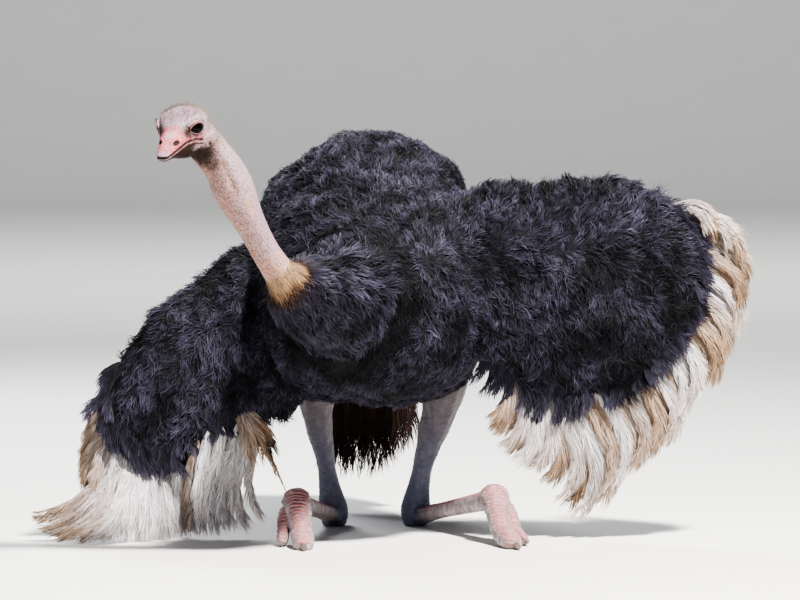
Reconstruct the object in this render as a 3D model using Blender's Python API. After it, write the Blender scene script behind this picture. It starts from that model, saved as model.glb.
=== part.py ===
"""A male ostrich in his courtship bow: kneeling on his hocks, the left wing raised and fanned,
the right wing drooped so that its plumes lie on the ground, the neck bent to his right.

Metres, +Z up. The bird faces -Y, so his left side is +X. The origin is on the floor, at the
centre of the whole model's footprint.
"""

import math

import bmesh
import bpy
import numpy as np
from mathutils import Matrix, Vector

# ---------------------------------------------------------------- driving dimensions
GAP = 0.0004  # between neighbouring solids
LEAST_SLANT = 0.4  # limits how far a cutter's sharp corners are moved out for the gap
FLOOR_CUT = 0.5  # depth of the block that trims what would go below the floor

# Head. Its own frame: F towards the bill, L to the bird's left, T to the crown, from between the eyes.
HEAD_CENTRE = Vector((-0.5336, -0.915, 1.0735))
HEAD_YAW = math.radians(21.5)  # turned to the bird's right
HEAD_PITCH = math.radians(20.0)  # bill down
BROW = 0.18  # how much broader the head is above than below
EYE_RADIUS = 0.0215
EYE_OFFSET = Vector((0.003, 0.0375, 0.001))  # forward, out to the side, up
EYE_PLAY = 0.0003
MOUTH_HEIGHT = -0.0310  # of the mouth's plane, at the eyes
MOUTH_SLIT = 0.0008
BILL_ROWS = 6.5  # the bill takes this many steps of HEAD_SECTIONS
SECTION_STEP = 0.02  # between the sections where the bill meets the skull
# forward, centre height, half width, half height, squareness, tip back of the section in degrees
HEAD_SECTIONS = [
    (0.1290, -0.0345, 0.0080, 0.0042, 2.0, 0),
    (0.1265, -0.0343, 0.0125, 0.0074, 2.1, 0),
    (0.1210, -0.0338, 0.0168, 0.0104, 2.2, 0),
    (0.1080, -0.0322, 0.0205, 0.0145, 2.2, 0),
    (0.0900, -0.0292, 0.0238, 0.0200, 2.2, 0),
    (0.0700, -0.0256, 0.0285, 0.0270, 2.2, 0),
    (0.0500, -0.0228, 0.0350, 0.0360, 2.2, 0),
    (0.0300, -0.0208, 0.0450, 0.0465, 2.3, 0),
    (0.0100, -0.0195, 0.0540, 0.0550, 2.4, 0),
    (-0.0120, -0.0180, 0.0570, 0.0595, 2.4, 4),
    (-0.0330, -0.0170, 0.0540, 0.0570, 2.3, 12),
    (-0.0500, -0.0220, 0.0495, 0.0530, 2.1, 26),
    (-0.0640, -0.0320, 0.0450, 0.0480, 2.0, 42),
]

# Neck: (centre, half width) of the bare neck from the skull down to the feather collar.
NECK_PATH = [
    ((-0.4930, -0.8800, 1.0510), 0.0450),
    ((-0.4710, -0.8660, 1.0240), 0.0455),
    ((-0.4500, -0.8570, 0.9970), 0.0455),
    ((-0.4251, -0.8520, 0.9621), 0.0484),
    ((-0.4102, -0.8460, 0.9268), 0.0520),
    ((-0.3917, -0.8380, 0.8867), 0.0470),
    ((-0.3745, -0.8300, 0.8509), 0.0405),
    ((-0.3535, -0.8150, 0.8100), 0.0362),
    ((-0.3353, -0.8000, 0.7743), 0.0355),
    ((-0.3138, -0.7850, 0.7384), 0.0370),
    ((-0.2883, -0.7650, 0.7023), 0.0420),
]
NECK_CUTS = (5, 11)  # the rings at which the bare neck is divided
# The feathered root of the neck, from the collar into the breast.
SLEEVE_PATH = [
    ((-0.2890, -0.7660, 0.7035), 0.0440),
    ((-0.2770, -0.7520, 0.6880), 0.0680),
    ((-0.2500, -0.7200, 0.6620), 0.0980),
    ((-0.2150, -0.6700, 0.6420), 0.1170),
    ((-0.1700, -0.5900, 0.6330), 0.1300),
    ((-0.1200, -0.4900, 0.6400), 0.1420),
    ((-0.0800, -0.3600, 0.6600), 0.1500),
]

# Trunk: (y, centre x, centre z, half width, half height) from breast to rump.
TRUNK = [
    (-0.575, -0.085, 0.590, 0.030, 0.030),
    (-0.560, -0.084, 0.590, 0.105, 0.095),
    (-0.510, -0.082, 0.592, 0.185, 0.165),
    (-0.420, -0.078, 0.605, 0.250, 0.232),
    (-0.300, -0.074, 0.635, 0.278, 0.285),
    (-0.120, -0.074, 0.690, 0.280, 0.342),
    (0.060, -0.076, 0.722, 0.272, 0.336),
    (0.230, -0.076, 0.742, 0.240, 0.275),
    (0.370, -0.076, 0.728, 0.180, 0.195),
    (0.450, -0.076, 0.712, 0.115, 0.125),
    (0.485, -0.076, 0.704, 0.040, 0.045),
]
TRUNK_SQUARENESS = 2.45
# Swellings of the trunk: (angle from its left side, spread, height as a share, y, spread in y).
TRUNK_SWELLS = [
    (155, 20, 0.13, -0.10, 0.30),  # right shoulder
    (-43, 24, 0.24, 0.00, 0.24),  # left thigh
    (-137, 24, 0.20, 0.00, 0.24),  # right thigh
]

# Tail: (centre, half width, half thickness) of the drooping brush.
TAIL = [
    ((-0.080, 0.300, 0.690), 0.075, 0.060),
    ((-0.080, 0.400, 0.640), 0.095, 0.075),
    ((-0.082, 0.485, 0.545), 0.122, 0.070),
    ((-0.084, 0.535, 0.430), 0.142, 0.052),
    ((-0.086, 0.560, 0.310), 0.142, 0.036),
    ((-0.088, 0.570, 0.210), 0.122, 0.020),
    ((-0.092, 0.574, 0.145), 0.082, 0.008),
]
TAIL_LOBES = 7  # plume tips along the tail's lower edge
TAIL_LOBE_DEPTH = 0.030
TAIL_RAGGED = (0.6, 0.85, 1.0)  # how fully its last rings follow the plume tips
TAIL_SLANT = 0.030  # how much lower the tail's edge hangs on the bird's right

# Legs. Centres and half sizes (across, fore and aft) of the shank, from thigh to hock.
HOCK_Y = 0.120
HOCK_HEIGHT = 0.042
SHANK = {
    "right": [
        ((-0.215, -0.060, 0.560), 0.085, 0.130),
        ((-0.222, -0.035, 0.440), 0.068, 0.112),
        ((-0.222, 0.000, 0.350), 0.049, 0.082),
        ((-0.213, 0.035, 0.270), 0.036, 0.056),
        ((-0.201, 0.066, 0.200), 0.0265, 0.040),
        ((-0.194, 0.086, 0.150), 0.0235, 0.034),
        ((-0.187, 0.100, 0.100), 0.0290, 0.036),
        ((-0.180, 0.112, 0.060), 0.0370, 0.040),
        ((-0.176, 0.120, 0.036), 0.0390, 0.042),
        ((-0.175, 0.122, 0.006), 0.0330, 0.036),
        ((-0.175, 0.122, -0.006), 0.0220, 0.026),
    ],
    "left": [
        ((0.110, -0.060, 0.560), 0.085, 0.130),
        ((0.124, -0.035, 0.440), 0.068, 0.112),
        ((0.113, 0.000, 0.350), 0.050, 0.082),
        ((0.090, 0.035, 0.270), 0.040, 0.056),
        ((0.070, 0.066, 0.200), 0.0290, 0.040),
        ((0.058, 0.086, 0.150), 0.0255, 0.034),
        ((0.049, 0.100, 0.100), 0.0300, 0.036),
        ((0.043, 0.112, 0.060), 0.0380, 0.040),
        ((0.041, 0.120, 0.036), 0.0400, 0.042),
        ((0.041, 0.122, 0.006), 0.0330, 0.036),
        ((0.041, 0.122, -0.006), 0.0220, 0.026),
    ],
}
ANKLE = {  # where the tarsus meets the toes
    "right": Vector((-0.266, -0.322, 0.102)),
    "left": Vector((0.243, -0.300, 0.110)),
}
TARSUS_START = {
    "right": Vector((-0.176, 0.115, 0.027)),
    "left": Vector((0.046, 0.115, 0.026)),
}
TARSUS_SIZES = [  # share of the length, half width, half height
    (0.00, 0.0300, 0.0240),
    (0.10, 0.0285, 0.0225),
    (0.22, 0.0255, 0.0205),
    (0.40, 0.0220, 0.0205),
    (0.60, 0.0210, 0.0225),
    (0.78, 0.0225, 0.0245),
    (0.90, 0.0260, 0.0265),
    (0.97, 0.0275, 0.0280),
]
ANKLE_HEIGHT = 0.102  # that the toes' heights are given for
TOE_LANDING = 0.1  # how far forward of the ankle the toes reach the floor
LEG_SQUARENESS = 2.25  # of the tarsus and the toes
TOE_HEADING = {"right": 0.10, "left": 0.26}  # how far the toes go to +X for each metre forwards
# Toes: (forward, sideways outwards, height, half width, half height), from the ankle joint to the tip.
MAIN_TOE = [
    (-0.020, 0.000, 0.114, 0.0320, 0.0270),
    (0.004, 0.000, 0.108, 0.0360, 0.0380),
    (0.034, -0.002, 0.086, 0.0320, 0.0350),
    (0.066, -0.004, 0.056, 0.0280, 0.0300),
    (0.100, -0.005, 0.032, 0.0270, 0.0270),
    (0.140, -0.005, 0.022, 0.0275, 0.0250),
    (0.175, -0.004, 0.016, 0.0265, 0.0220),
    (0.200, -0.003, 0.012, 0.0200, 0.0160),
    (0.208, -0.002, 0.010, 0.0090, 0.0080),
]
OUTER_TOE = [
    (0.004, 0.022, 0.084, 0.0130, 0.0170),
    (0.020, 0.031, 0.076, 0.0165, 0.0200),
    (0.044, 0.036, 0.052, 0.0150, 0.0180),
    (0.070, 0.039, 0.028, 0.0140, 0.0165),
    (0.096, 0.043, 0.018, 0.0140, 0.0160),
    (0.118, 0.047, 0.014, 0.0105, 0.0120),
    (0.124, 0.048, 0.012, 0.0050, 0.0060),
]
CLAW_LENGTH = {"main": 0.046, "outer": 0.018}
CLAW_RADIUS = {"main": 0.0125, "outer": 0.0065}
CLAW_DROP = {"main": 0.004, "outer": 0.002}
CLAW_BURIED = 0.45  # the share of the claw that starts inside the toe
CLAW_TAPER = 0.78
CLAW_FLATNESS = 0.8

# Wings. Each is a fan round its centre: angles in degrees run from straight out sideways (0) to
# straight down (90). "coverts" is the outline of the dark feathers as (angle, radius) and "hem"
# the line of the long plumes' tips: (angle, radius) on the raised wing, and (angle, x, y, z) on the
# drooped one, whose tips lie on the floor. "lean" is how far the wing's sheet goes back for each
# metre sideways (x) and up (z), "dome" how far its middle stands out before its edge, and "leave"
# and "arrive" how much a plume bends down where it leaves the coverts and at its tip.
DOME_RADIUS = 0.6  # where the sheet has curved back by the whole of "dome"
WINGS = {
    "left": {
        "side": 1, "centre": Vector((0.257, -0.270, 0.711)), "lean": (-0.10, 0.06), "dome": 0.085,
        "coverts": [
            (-90, 0.224), (-70, 0.228), (-56, 0.278), (-43, 0.350), (-31, 0.420), (-19, 0.500),
            (-8, 0.540), (7, 0.544), (20, 0.525), (34, 0.495), (47, 0.472), (60, 0.395),
            (74, 0.355), (86, 0.295), (98, 0.256), (130, 0.240), (200, 0.230), (270, 0.224),
        ],
        "hem": [
            (-18, 0.540), (-12, 0.595), (-5, 0.646), (3, 0.662), (14, 0.662), (30, 0.640),
            (45, 0.635), (56, 0.632), (65, 0.655), (73, 0.672), (79, 0.560), (85, 0.490), (90, 0.415),
        ],
        "plumes": 15, "leave": 0.0, "arrive": 0.5,
    },
    "right": {
        "side": -1, "centre": Vector((-0.400, -0.200, 0.622)), "lean": (0.28, 0.06), "dome": 0.070,
        "coverts": [
            (-90, 0.148), (-45, 0.140), (-17, 0.162), (4, 0.212), (16, 0.305), (24, 0.368),
            (32, 0.438), (44, 0.505), (55, 0.530), (65, 0.520), (71, 0.470), (78, 0.395),
            (88, 0.358), (100, 0.335), (114, 0.335), (128, 0.280), (160, 0.190), (270, 0.148),
        ],
        "hem": [
            (30, -0.966, -0.200, 0.085), (41, -0.935, -0.270, 0.030), (47, -0.870, -0.340, 0.004),
            (52, -0.774, -0.270, 0.004), (59, -0.700, -0.170, 0.004), (66, -0.620, -0.110, 0.004),
            (74, -0.530, -0.060, 0.004), (83, -0.430, -0.030, 0.004), (93, -0.345, 0.000, 0.004),
            (103, -0.318, -0.060, 0.160),
        ],
        "plumes": 13, "leave": 1.5, "arrive": 0.25,
    },
}
WING_THICK = (0.062, 0.034)  # half thickness of the wing on its upper and under side
WING_ROOT_THICK = (0.020, 0.085)  # what is added to them where the wing leaves the trunk
WING_ROOT_SPAN = (-0.16, 0.16)  # from where to where along the wing that is blended out
PLUME_COLUMNS = 3  # of the fan's grid, to each plume
PLUME_ROWS = 4
PLUME_TUCK = 0.030  # how far the plumes start inside the coverts' edge
PLUME_NOTCH = 0.30  # depth of the gap between plume tips, as a share of their length
PLUME_BEND = (0.40, 0.35)  # length of the curve's handles at the root and at the tip, as shares
PLUME_THICK = (0.0150, 0.0050)  # half thickness at the root and at the tip
PLUME_EDGE_THICK = 0.3  # the share of that thickness left at the two sides of the fan
FLOOR_THICK = 0.008  # least height of a plume that lies on the floor

# How finely each solid is divided: rings along it, and points round a ring.
HEAD_GRID = (10, 18)
BILL_GRID = (9, 14)
EYE_GRID = (8, 14)
NECK_GRID = (17, 16)
SLEEVE_GRID = (8, 18)
TRUNK_GRID = (15, 24)
TAIL_GRID = (10, 18)
SHANK_GRID = (13, 12)
TARSUS_GRID = (8, 10)
TOE_GRID = (9, 10)
CLAW_GRID = (5, 7)
WING_GRID = (9, 32)

MATERIALS = {  # colour, roughness
    "black_plumage": ((0.018, 0.017, 0.021), 0.75),
    "white_plumes": ((0.72, 0.64, 0.54), 0.70),
    "brown_plumes": ((0.16, 0.085, 0.05), 0.75),
    "neck_skin": ((0.58, 0.44, 0.40), 0.60),
    "head_skin": ((0.55, 0.44, 0.44), 0.60),
    "bill_horn": ((0.66, 0.36, 0.33), 0.45),
    "leg_skin": ((0.13, 0.12, 0.14), 0.55),
    "foot_scales": ((0.40, 0.27, 0.26), 0.50),
    "claw_horn": ((0.10, 0.08, 0.07), 0.35),
    "eye": ((0.030, 0.018, 0.014), 0.08),
}


# ---------------------------------------------------------------- scene and materials
def clear_scene():
    for obj in list(bpy.data.objects):
        bpy.data.objects.remove(obj)


def make_collection(name, hidden=False):
    collection = bpy.data.collections.new(name)
    collection.hide_render = hidden
    bpy.context.scene.collection.children.link(collection)
    return collection


def make_material(name, colour, roughness):
    material = bpy.data.materials.new(name)
    material.use_nodes = True
    shader = material.node_tree.nodes["Principled BSDF"]
    shader.inputs["Base Color"].default_value = (*colour, 1.0)
    shader.inputs["Roughness"].default_value = roughness
    shader.inputs["Metallic"].default_value = 0.0
    return material


def make_object(name, bm, material=None, collection=None):
    """A smooth-shaded object from a bmesh. Its faces are turned outwards and split into triangles,
    so that a cutter copied from it has the same ones."""
    bmesh.ops.recalc_face_normals(bm, faces=bm.faces)
    bmesh.ops.triangulate(bm, faces=bm.faces)
    mesh = bpy.data.meshes.new(name)
    bm.to_mesh(mesh)
    bm.free()
    mesh.shade_smooth()
    obj = bpy.data.objects.new(name, mesh)
    (collection or OSTRICH).objects.link(obj)
    if material:
        mesh.materials.append(PAINT[material])
    return obj


# ---------------------------------------------------------------- curves and sections
def smooth_rows(rows, count, start=0.0, end=1.0):
    """Resamples rows of numbers along a Catmull-Rom curve through them, evenly by row number."""
    table = np.array(rows, float)
    padded = np.vstack([2 * table[0] - table[1], table, 2 * table[-1] - table[-2]])
    out = []
    for place in np.linspace(start, end, count) * (len(table) - 1):
        i = min(int(place), len(table) - 2)
        t = place - i
        a, b, c, d = padded[i:i + 4]
        out.append(0.5 * (2 * b + (c - a) * t + (2 * a - 5 * b + 4 * c - d) * t * t
                          + (3 * b - a - 3 * c + d) * t ** 3))
    return np.array(out)


def interpolate(table, angle):
    """The value at an angle in a table of (angle, value), eased between its rows."""
    angles = [row[0] for row in table]
    i = int(np.clip(np.searchsorted(angles, angle) - 1, 0, len(table) - 2))
    t = np.clip((angle - angles[i]) / (angles[i + 1] - angles[i]), 0, 1)
    return table[i][1] + (table[i + 1][1] - table[i][1]) * (t * t * (3 - 2 * t) * 0.4 + t * 0.6)


def oval(centre, across, upward, half_width, half_height, sides, power=2.0):
    """A ring of points: an ellipse, squarer for a power above 2."""
    points = []
    for i in range(sides):
        angle = 2 * math.pi * i / sides
        c, s = math.cos(angle), math.sin(angle)
        x = math.copysign(abs(c) ** (2 / power), c) * half_width
        y = math.copysign(abs(s) ** (2 / power), s) * half_height
        points.append(Vector(centre) + Vector(across) * x + Vector(upward) * y)
    return points


def swept_rings(centres, widths, heights, reference, sides, power=2.0, normals=None):
    """Rings set square to a path. The reference direction is kept as near as can be to each ring's width."""
    centres = [Vector(c) for c in centres]
    rings = []
    for i, centre in enumerate(centres):
        ahead, behind = centres[min(i + 1, len(centres) - 1)], centres[max(i - 1, 0)]
        tangent = normals[i] if normals else (ahead - behind).normalized()
        across = (reference - reference.dot(tangent) * tangent).normalized()
        upward = across.cross(tangent).normalized()
        rings.append(oval(centre, across, upward, widths[i], heights[i], sides, power))
    return rings


def loft(name, rings, material=None, collection=None):
    """A closed solid over rings with the same number of points."""
    bm = bmesh.new()
    loops = [[bm.verts.new(p) for p in ring] for ring in rings]
    sides = len(rings[0])
    for first, second in zip(loops, loops[1:]):
        for i in range(sides):
            j = (i + 1) % sides
            bm.faces.new((first[i], first[j], second[j], second[i]))
    bm.faces.new(loops[0])
    bm.faces.new(loops[-1])
    return make_object(name, bm, material, collection)


def slab(name, upper, lower, material):
    """A closed solid between two grids of points of the same shape."""
    bm = bmesh.new()
    faces_of = []
    for grid in (upper, lower):
        faces_of.append([[bm.verts.new(p) for p in row] for row in grid])
    rows, columns = len(upper), len(upper[0])
    for top in faces_of:
        for i in range(rows - 1):
            for j in range(columns - 1):
                bm.faces.new((top[i][j], top[i + 1][j], top[i + 1][j + 1], top[i][j + 1]))
    rim = [(i, 0) for i in range(rows)] + [(rows - 1, j) for j in range(1, columns)]
    rim += [(i, columns - 1) for i in range(rows - 2, -1, -1)] + [(0, j) for j in range(columns - 2, 0, -1)]
    for (i, j), (k, m) in zip(rim, rim[1:] + rim[:1]):
        bm.faces.new((faces_of[0][i][j], faces_of[0][k][m], faces_of[1][k][m], faces_of[1][i][j]))
    return make_object(name, bm, material)


# ---------------------------------------------------------------- cutting
def hide_cutter(obj):
    obj.hide_render = True
    obj.display_type = "WIRE"
    return obj


def swollen_copy(obj, name):
    """A cutter that is larger than an object's uncut shape by a gap on every face."""
    mesh = obj.data.copy()
    bm = bmesh.new()
    bm.from_mesh(mesh)
    moves = []
    for vertex in bm.verts:
        slant = min(vertex.normal.dot(face.normal) for face in vertex.link_faces)
        moves.append(vertex.normal * GAP / max(slant, LEAST_SLANT))
    for vertex, move in zip(bm.verts, moves):
        vertex.co += move
    bm.to_mesh(mesh)
    bm.free()
    cutter = bpy.data.objects.new(name, mesh)
    CUTTERS.objects.link(cutter)
    return hide_cutter(cutter)


def box_cutter(name, low, high):
    bm = bmesh.new()
    bmesh.ops.create_cube(bm, size=1.0)
    low, high = Vector(low), Vector(high)
    for v in bm.verts:
        v.co = Vector(((v.co[i] + 0.5) * (high[i] - low[i]) + low[i] for i in range(3)))
    return hide_cutter(make_object(name, bm, collection=CUTTERS))


def cut(obj, cutter, operation="DIFFERENCE"):
    modifier = obj.modifiers.new(cutter.name, "BOOLEAN")
    modifier.operation = operation
    modifier.solver = "EXACT"
    modifier.object = cutter
    return obj


# ---------------------------------------------------------------- head
def head_axes():
    """Unit vectors of the head's frame: forward along the bill, to the bird's left, and to the crown."""
    sin_y, cos_y = math.sin(HEAD_YAW), math.cos(HEAD_YAW)
    sin_p, cos_p = math.sin(HEAD_PITCH), math.cos(HEAD_PITCH)
    forward = Vector((-sin_y * cos_p, -cos_y * cos_p, -sin_p))
    left = Vector((cos_y, -sin_y, 0.0))
    return forward, left, forward.cross(left)


def head_point(forward, left, up):
    f, l, t = head_axes()
    return HEAD_CENTRE + f * forward + l * left + t * up


def head_rings(grid, first, last):
    """Rings of the skull and bill between two rows of the section table."""
    count, sides = grid
    f, left, t = head_axes()
    rings = []
    steps = len(HEAD_SECTIONS) - 1
    for ahead, height, width, tall, power, tip in smooth_rows(HEAD_SECTIONS, count, first / steps, last / steps):
        angle = math.radians(tip)
        upward = t * math.cos(angle) - f * math.sin(angle)
        centre = head_point(ahead, 0.0, height)
        ring = oval(centre, left, upward, width, tall, sides, power)
        for point in ring:
            offset = point - centre
            point += left * offset.dot(left) * BROW * offset.dot(upward) / tall
        rings.append(ring)
    return rings


def build_head():
    """Skull, eyes in their sockets, and the bill in two halves, parted at the mouth."""
    steps = len(HEAD_SECTIONS) - 1
    half_gap = GAP / SECTION_STEP / 2
    head = loft("head", head_rings(HEAD_GRID, BILL_ROWS + half_gap, steps), "head_skin")
    bill = loft("bill", head_rings(BILL_GRID, 0, BILL_ROWS - half_gap), collection=CUTTERS)
    hide_cutter(bill)
    _, left, up = head_axes()
    for name, side in {"bill_upper": 1, "bill_lower": -1}.items():
        half = bpy.data.objects.new(name, bill.data.copy())
        OSTRICH.objects.link(half)
        half.data.materials.append(PAINT["bill_horn"])
        block = box_cutter(name + "_block", (-0.3, -0.3, 0.0), (0.3, 0.3, 0.3))
        upward = up * side
        edge = head_point(0.0, 0.0, MOUTH_HEIGHT + side * MOUTH_SLIT / 2)
        block.matrix_world = frame_matrix(edge, left, upward.cross(left), upward)
        cut(half, block, "INTERSECT")
    for name, side in {"left": 1, "right": -1}.items():
        eye = sphere("eye_" + name, EYE_RADIUS, EYE_GRID, "eye")
        eye.location = head_point(EYE_OFFSET.x, EYE_OFFSET.y * side, EYE_OFFSET.z)
        socket = sphere("socket_" + name, EYE_RADIUS + EYE_PLAY, EYE_GRID, None, CUTTERS)
        socket.location = eye.location
        hide_cutter(socket)
        cut(head, socket)
    return head


def frame_matrix(origin, x_axis, y_axis, z_axis):
    matrix = Matrix.Identity(4)
    for column, axis in enumerate((x_axis, y_axis, z_axis)):
        matrix.col[column][:3] = axis.normalized()
    matrix.translation = origin
    return matrix


def sphere(name, radius, grid, material, collection=None):
    bm = bmesh.new()
    bmesh.ops.create_uvsphere(bm, u_segments=grid[1], v_segments=grid[0], radius=radius)
    return make_object(name, bm, material, collection)


# ---------------------------------------------------------------- neck
def neck_rings(path, grid):
    count, sides = grid
    rows = smooth_rows([(*centre, radius) for centre, radius in path], count)
    left = head_axes()[1]
    return swept_rings(rows[:, :3], rows[:, 3], rows[:, 3], left, sides)


def build_neck():
    """The bare neck in three lengths that share a ring, less the gap, and its feathered root."""
    rings = neck_rings(NECK_PATH, NECK_GRID)
    bounds = (0, *NECK_CUTS, NECK_GRID[0] - 1)
    lengths = []
    for name, first, last in zip(("upper", "middle", "lower"), bounds, bounds[1:]):
        own = [list(ring) for ring in rings[first:last + 1]]
        if first:
            step = (sum(own[1], Vector()) - sum(own[0], Vector())).normalized() * GAP
            own[0] = [point + step for point in own[0]]
        lengths.append(loft("neck_" + name, own, "neck_skin"))
    sleeve = loft("neck_root", neck_rings(SLEEVE_PATH, SLEEVE_GRID), "black_plumage")
    return lengths, sleeve


# ---------------------------------------------------------------- trunk and tail
def build_trunk():
    rings = []
    count, sides = TRUNK_GRID
    for y, x, z, width, height in smooth_rows(TRUNK, count):
        ring = oval((x, y, z), (1, 0, 0), (0, 0, 1), width, height, sides, TRUNK_SQUARENESS)
        centre = Vector((x, y, z))
        for point in ring:
            offset = point - centre
            bearing = math.degrees(math.atan2(offset.z, offset.x))
            for angle, spread, amount, swell_y, spread_y in TRUNK_SWELLS:
                far = ((bearing - angle) / spread) ** 2 + ((y - swell_y) / spread_y) ** 2
                point += offset * amount * math.exp(-far)
        rings.append(ring)
    return loft("trunk", rings, "black_plumage")


def build_tail():
    count, sides = TAIL_GRID
    rows = smooth_rows([(*c, w, h) for c, w, h in TAIL], count)
    rings = swept_rings(rows[:, :3], rows[:, 3], rows[:, 4], Vector((1, 0, 0)), sides)
    for share, ring in zip(TAIL_RAGGED, rings[-len(TAIL_RAGGED):]):
        for i, point in enumerate(ring):
            side = math.cos(2 * math.pi * i / len(ring))
            wave = abs(math.sin(side * TAIL_LOBES * math.pi / 2))
            point.z += share * (TAIL_LOBE_DEPTH * (0.5 - wave) + TAIL_SLANT * side * abs(side))
    return loft("tail", rings, "brown_plumes")


# ---------------------------------------------------------------- legs
def build_leg(side, outward):
    """One leg: shank with its hock, tarsus, two toes and their claws. Returns its solids by name."""
    rows = smooth_rows([(*c, w, d) for c, w, d in SHANK[side]], SHANK_GRID[0])
    rings = swept_rings(rows[:, :3], rows[:, 3], rows[:, 4], Vector((1, 0, 0)), SHANK_GRID[1])
    shank = loft("shank_" + side, rings, "leg_skin")

    start, ankle = TARSUS_START[side], ANKLE[side]
    rows = smooth_rows(TARSUS_SIZES, TARSUS_GRID[0])
    centres = [start.lerp(ankle, share) for share in rows[:, 0]]
    across = Vector((0, 0, 1)).cross(ankle - start).normalized()
    rings = swept_rings(centres, rows[:, 1], rows[:, 2], across, TARSUS_GRID[1], LEG_SQUARENESS)
    tarsus = loft("tarsus_" + side, rings, "leg_skin")

    parts = {"shank": shank, "tarsus": tarsus}
    ahead = Vector((TOE_HEADING[side], -1, 0)).normalized()
    sideways = Vector((outward, 0, 0))
    for toe, table in (("main", MAIN_TOE), ("outer", OUTER_TOE)):
        rows = smooth_rows(table, TOE_GRID[0])
        centres = []
        for forward, out, height, _, _ in rows:
            raised = (ankle.z - ANKLE_HEIGHT) * max(0.0, 1 - forward / TOE_LANDING)
            place = ankle + ahead * forward + sideways * out
            centres.append(Vector((place.x, place.y, height + raised)))
        rings = swept_rings(centres, rows[:, 3], rows[:, 4], sideways, TOE_GRID[1], LEG_SQUARENESS)
        parts["toe_" + toe] = loft(f"toe_{toe}_{side}", rings, "foot_scales")
        parts["claw_" + toe] = build_claw(f"claw_{toe}_{side}", centres, toe)
    return parts


def build_claw(name, toe_centres, toe):
    """A blunt nail that curves down to the floor from inside the toe's tip."""
    heading = (toe_centres[-1] - toe_centres[-4]).normalized()
    heading.z = 0.0
    base = toe_centres[-1] - heading * CLAW_LENGTH[toe] * CLAW_BURIED
    radius = CLAW_RADIUS[toe]
    rings = []
    across = Vector((0, 0, 1)).cross(heading).normalized()
    for share in np.linspace(0, 1, CLAW_GRID[0]):
        point = base + heading * CLAW_LENGTH[toe] * share
        point.z = base.z + CLAW_DROP[toe] - radius * 0.9 * share ** 2
        size = radius * (1 - CLAW_TAPER * share ** 1.8)
        rings.append(oval(point, across, Vector((0, 0, 1)), size, size * CLAW_FLATNESS, CLAW_GRID[1]))
    return loft(name, rings, "claw_horn")


# ---------------------------------------------------------------- wings
def wing_point(wing, degrees, radius):
    """A point on the wing's domed sheet."""
    angle = math.radians(degrees)
    x, z = wing["side"] * math.cos(angle) * radius, -math.sin(angle) * radius
    y = wing["lean"][0] * x + wing["lean"][1] * z
    domed = wing_normal(wing) * wing["dome"] * (radius / DOME_RADIUS) ** 2
    return wing["centre"] + Vector((x, y, z)) - domed


def wing_normal(wing):
    """Square to the wing's sheet, towards its upper side, which faces forwards."""
    return Vector((wing["lean"][0], -1.0, wing["lean"][1])).normalized()


def covert_radius(wing, degrees):
    return interpolate(wing["coverts"], (degrees + 90) % 360 - 90)


def build_coverts(name, wing):
    """The arm and its dark coverts: a sphere flattened to the wing's outline and doming."""
    obj = sphere(name, 1.0, WING_GRID, "black_plumage")
    normal = wing_normal(wing)
    near, far = WING_ROOT_SPAN
    for v in obj.data.vertices:
        x, y, z = v.co
        degrees = math.degrees(math.atan2(y, x))
        radius = math.hypot(x, y) * covert_radius(wing, degrees)
        out = min(max((radius * math.cos(math.radians(degrees)) - near) / (far - near), 0.0), 1.0)
        root = 1 - out * out * (3 - 2 * out)
        side = 0 if z > 0 else 1
        thick = (WING_THICK[side] + WING_ROOT_THICK[side] * root) * (1 if z > 0 else -1)
        v.co = wing_point(wing, degrees, radius) + normal * thick * abs(z) ** 0.8
    if wing["side"] > 0:
        obj.data.flip_normals()
    return obj


def plume_line(wing, degrees, end, reach):
    """Points along a plume, a curve from inside the coverts to its tip; reach is how much of it is there."""
    edge = covert_radius(wing, degrees)
    start = wing_point(wing, degrees, edge - PLUME_TUCK)
    outward = (wing_point(wing, degrees, edge) - start).normalized()
    onward = end - start
    length = onward.length
    if wing["leave"]:
        onward.z = 0.0
    leave = (outward - Vector((0, 0, wing["leave"]))).normalized()
    arrive = (onward.normalized() - Vector((0, 0, wing["arrive"]))).normalized()
    first, second = start + leave * length * PLUME_BEND[0], end - arrive * length * PLUME_BEND[1]
    line = []
    for share in np.linspace(0, reach, PLUME_ROWS):
        rest = 1 - share
        line.append(start * rest ** 3 + first * 3 * share * rest ** 2
                    + second * 3 * share ** 2 * rest + end * share ** 3)
    return line


def even_hem(wing, count):
    """Root angles and tips of plumes spaced evenly along the hem."""
    rows = [(row[0], *(row[1:] if len(row) == 4 else wing_point(wing, *row))) for row in wing["hem"]]
    fine = smooth_rows(rows, 200)
    steps = np.linalg.norm(np.diff(fine[:, 1:], axis=0), axis=1)
    travelled = np.concatenate([[0.0], np.cumsum(steps)])
    places = np.linspace(0, travelled[-1], count)
    return np.column_stack([np.interp(places, travelled, fine[:, i]) for i in range(4)])


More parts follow.
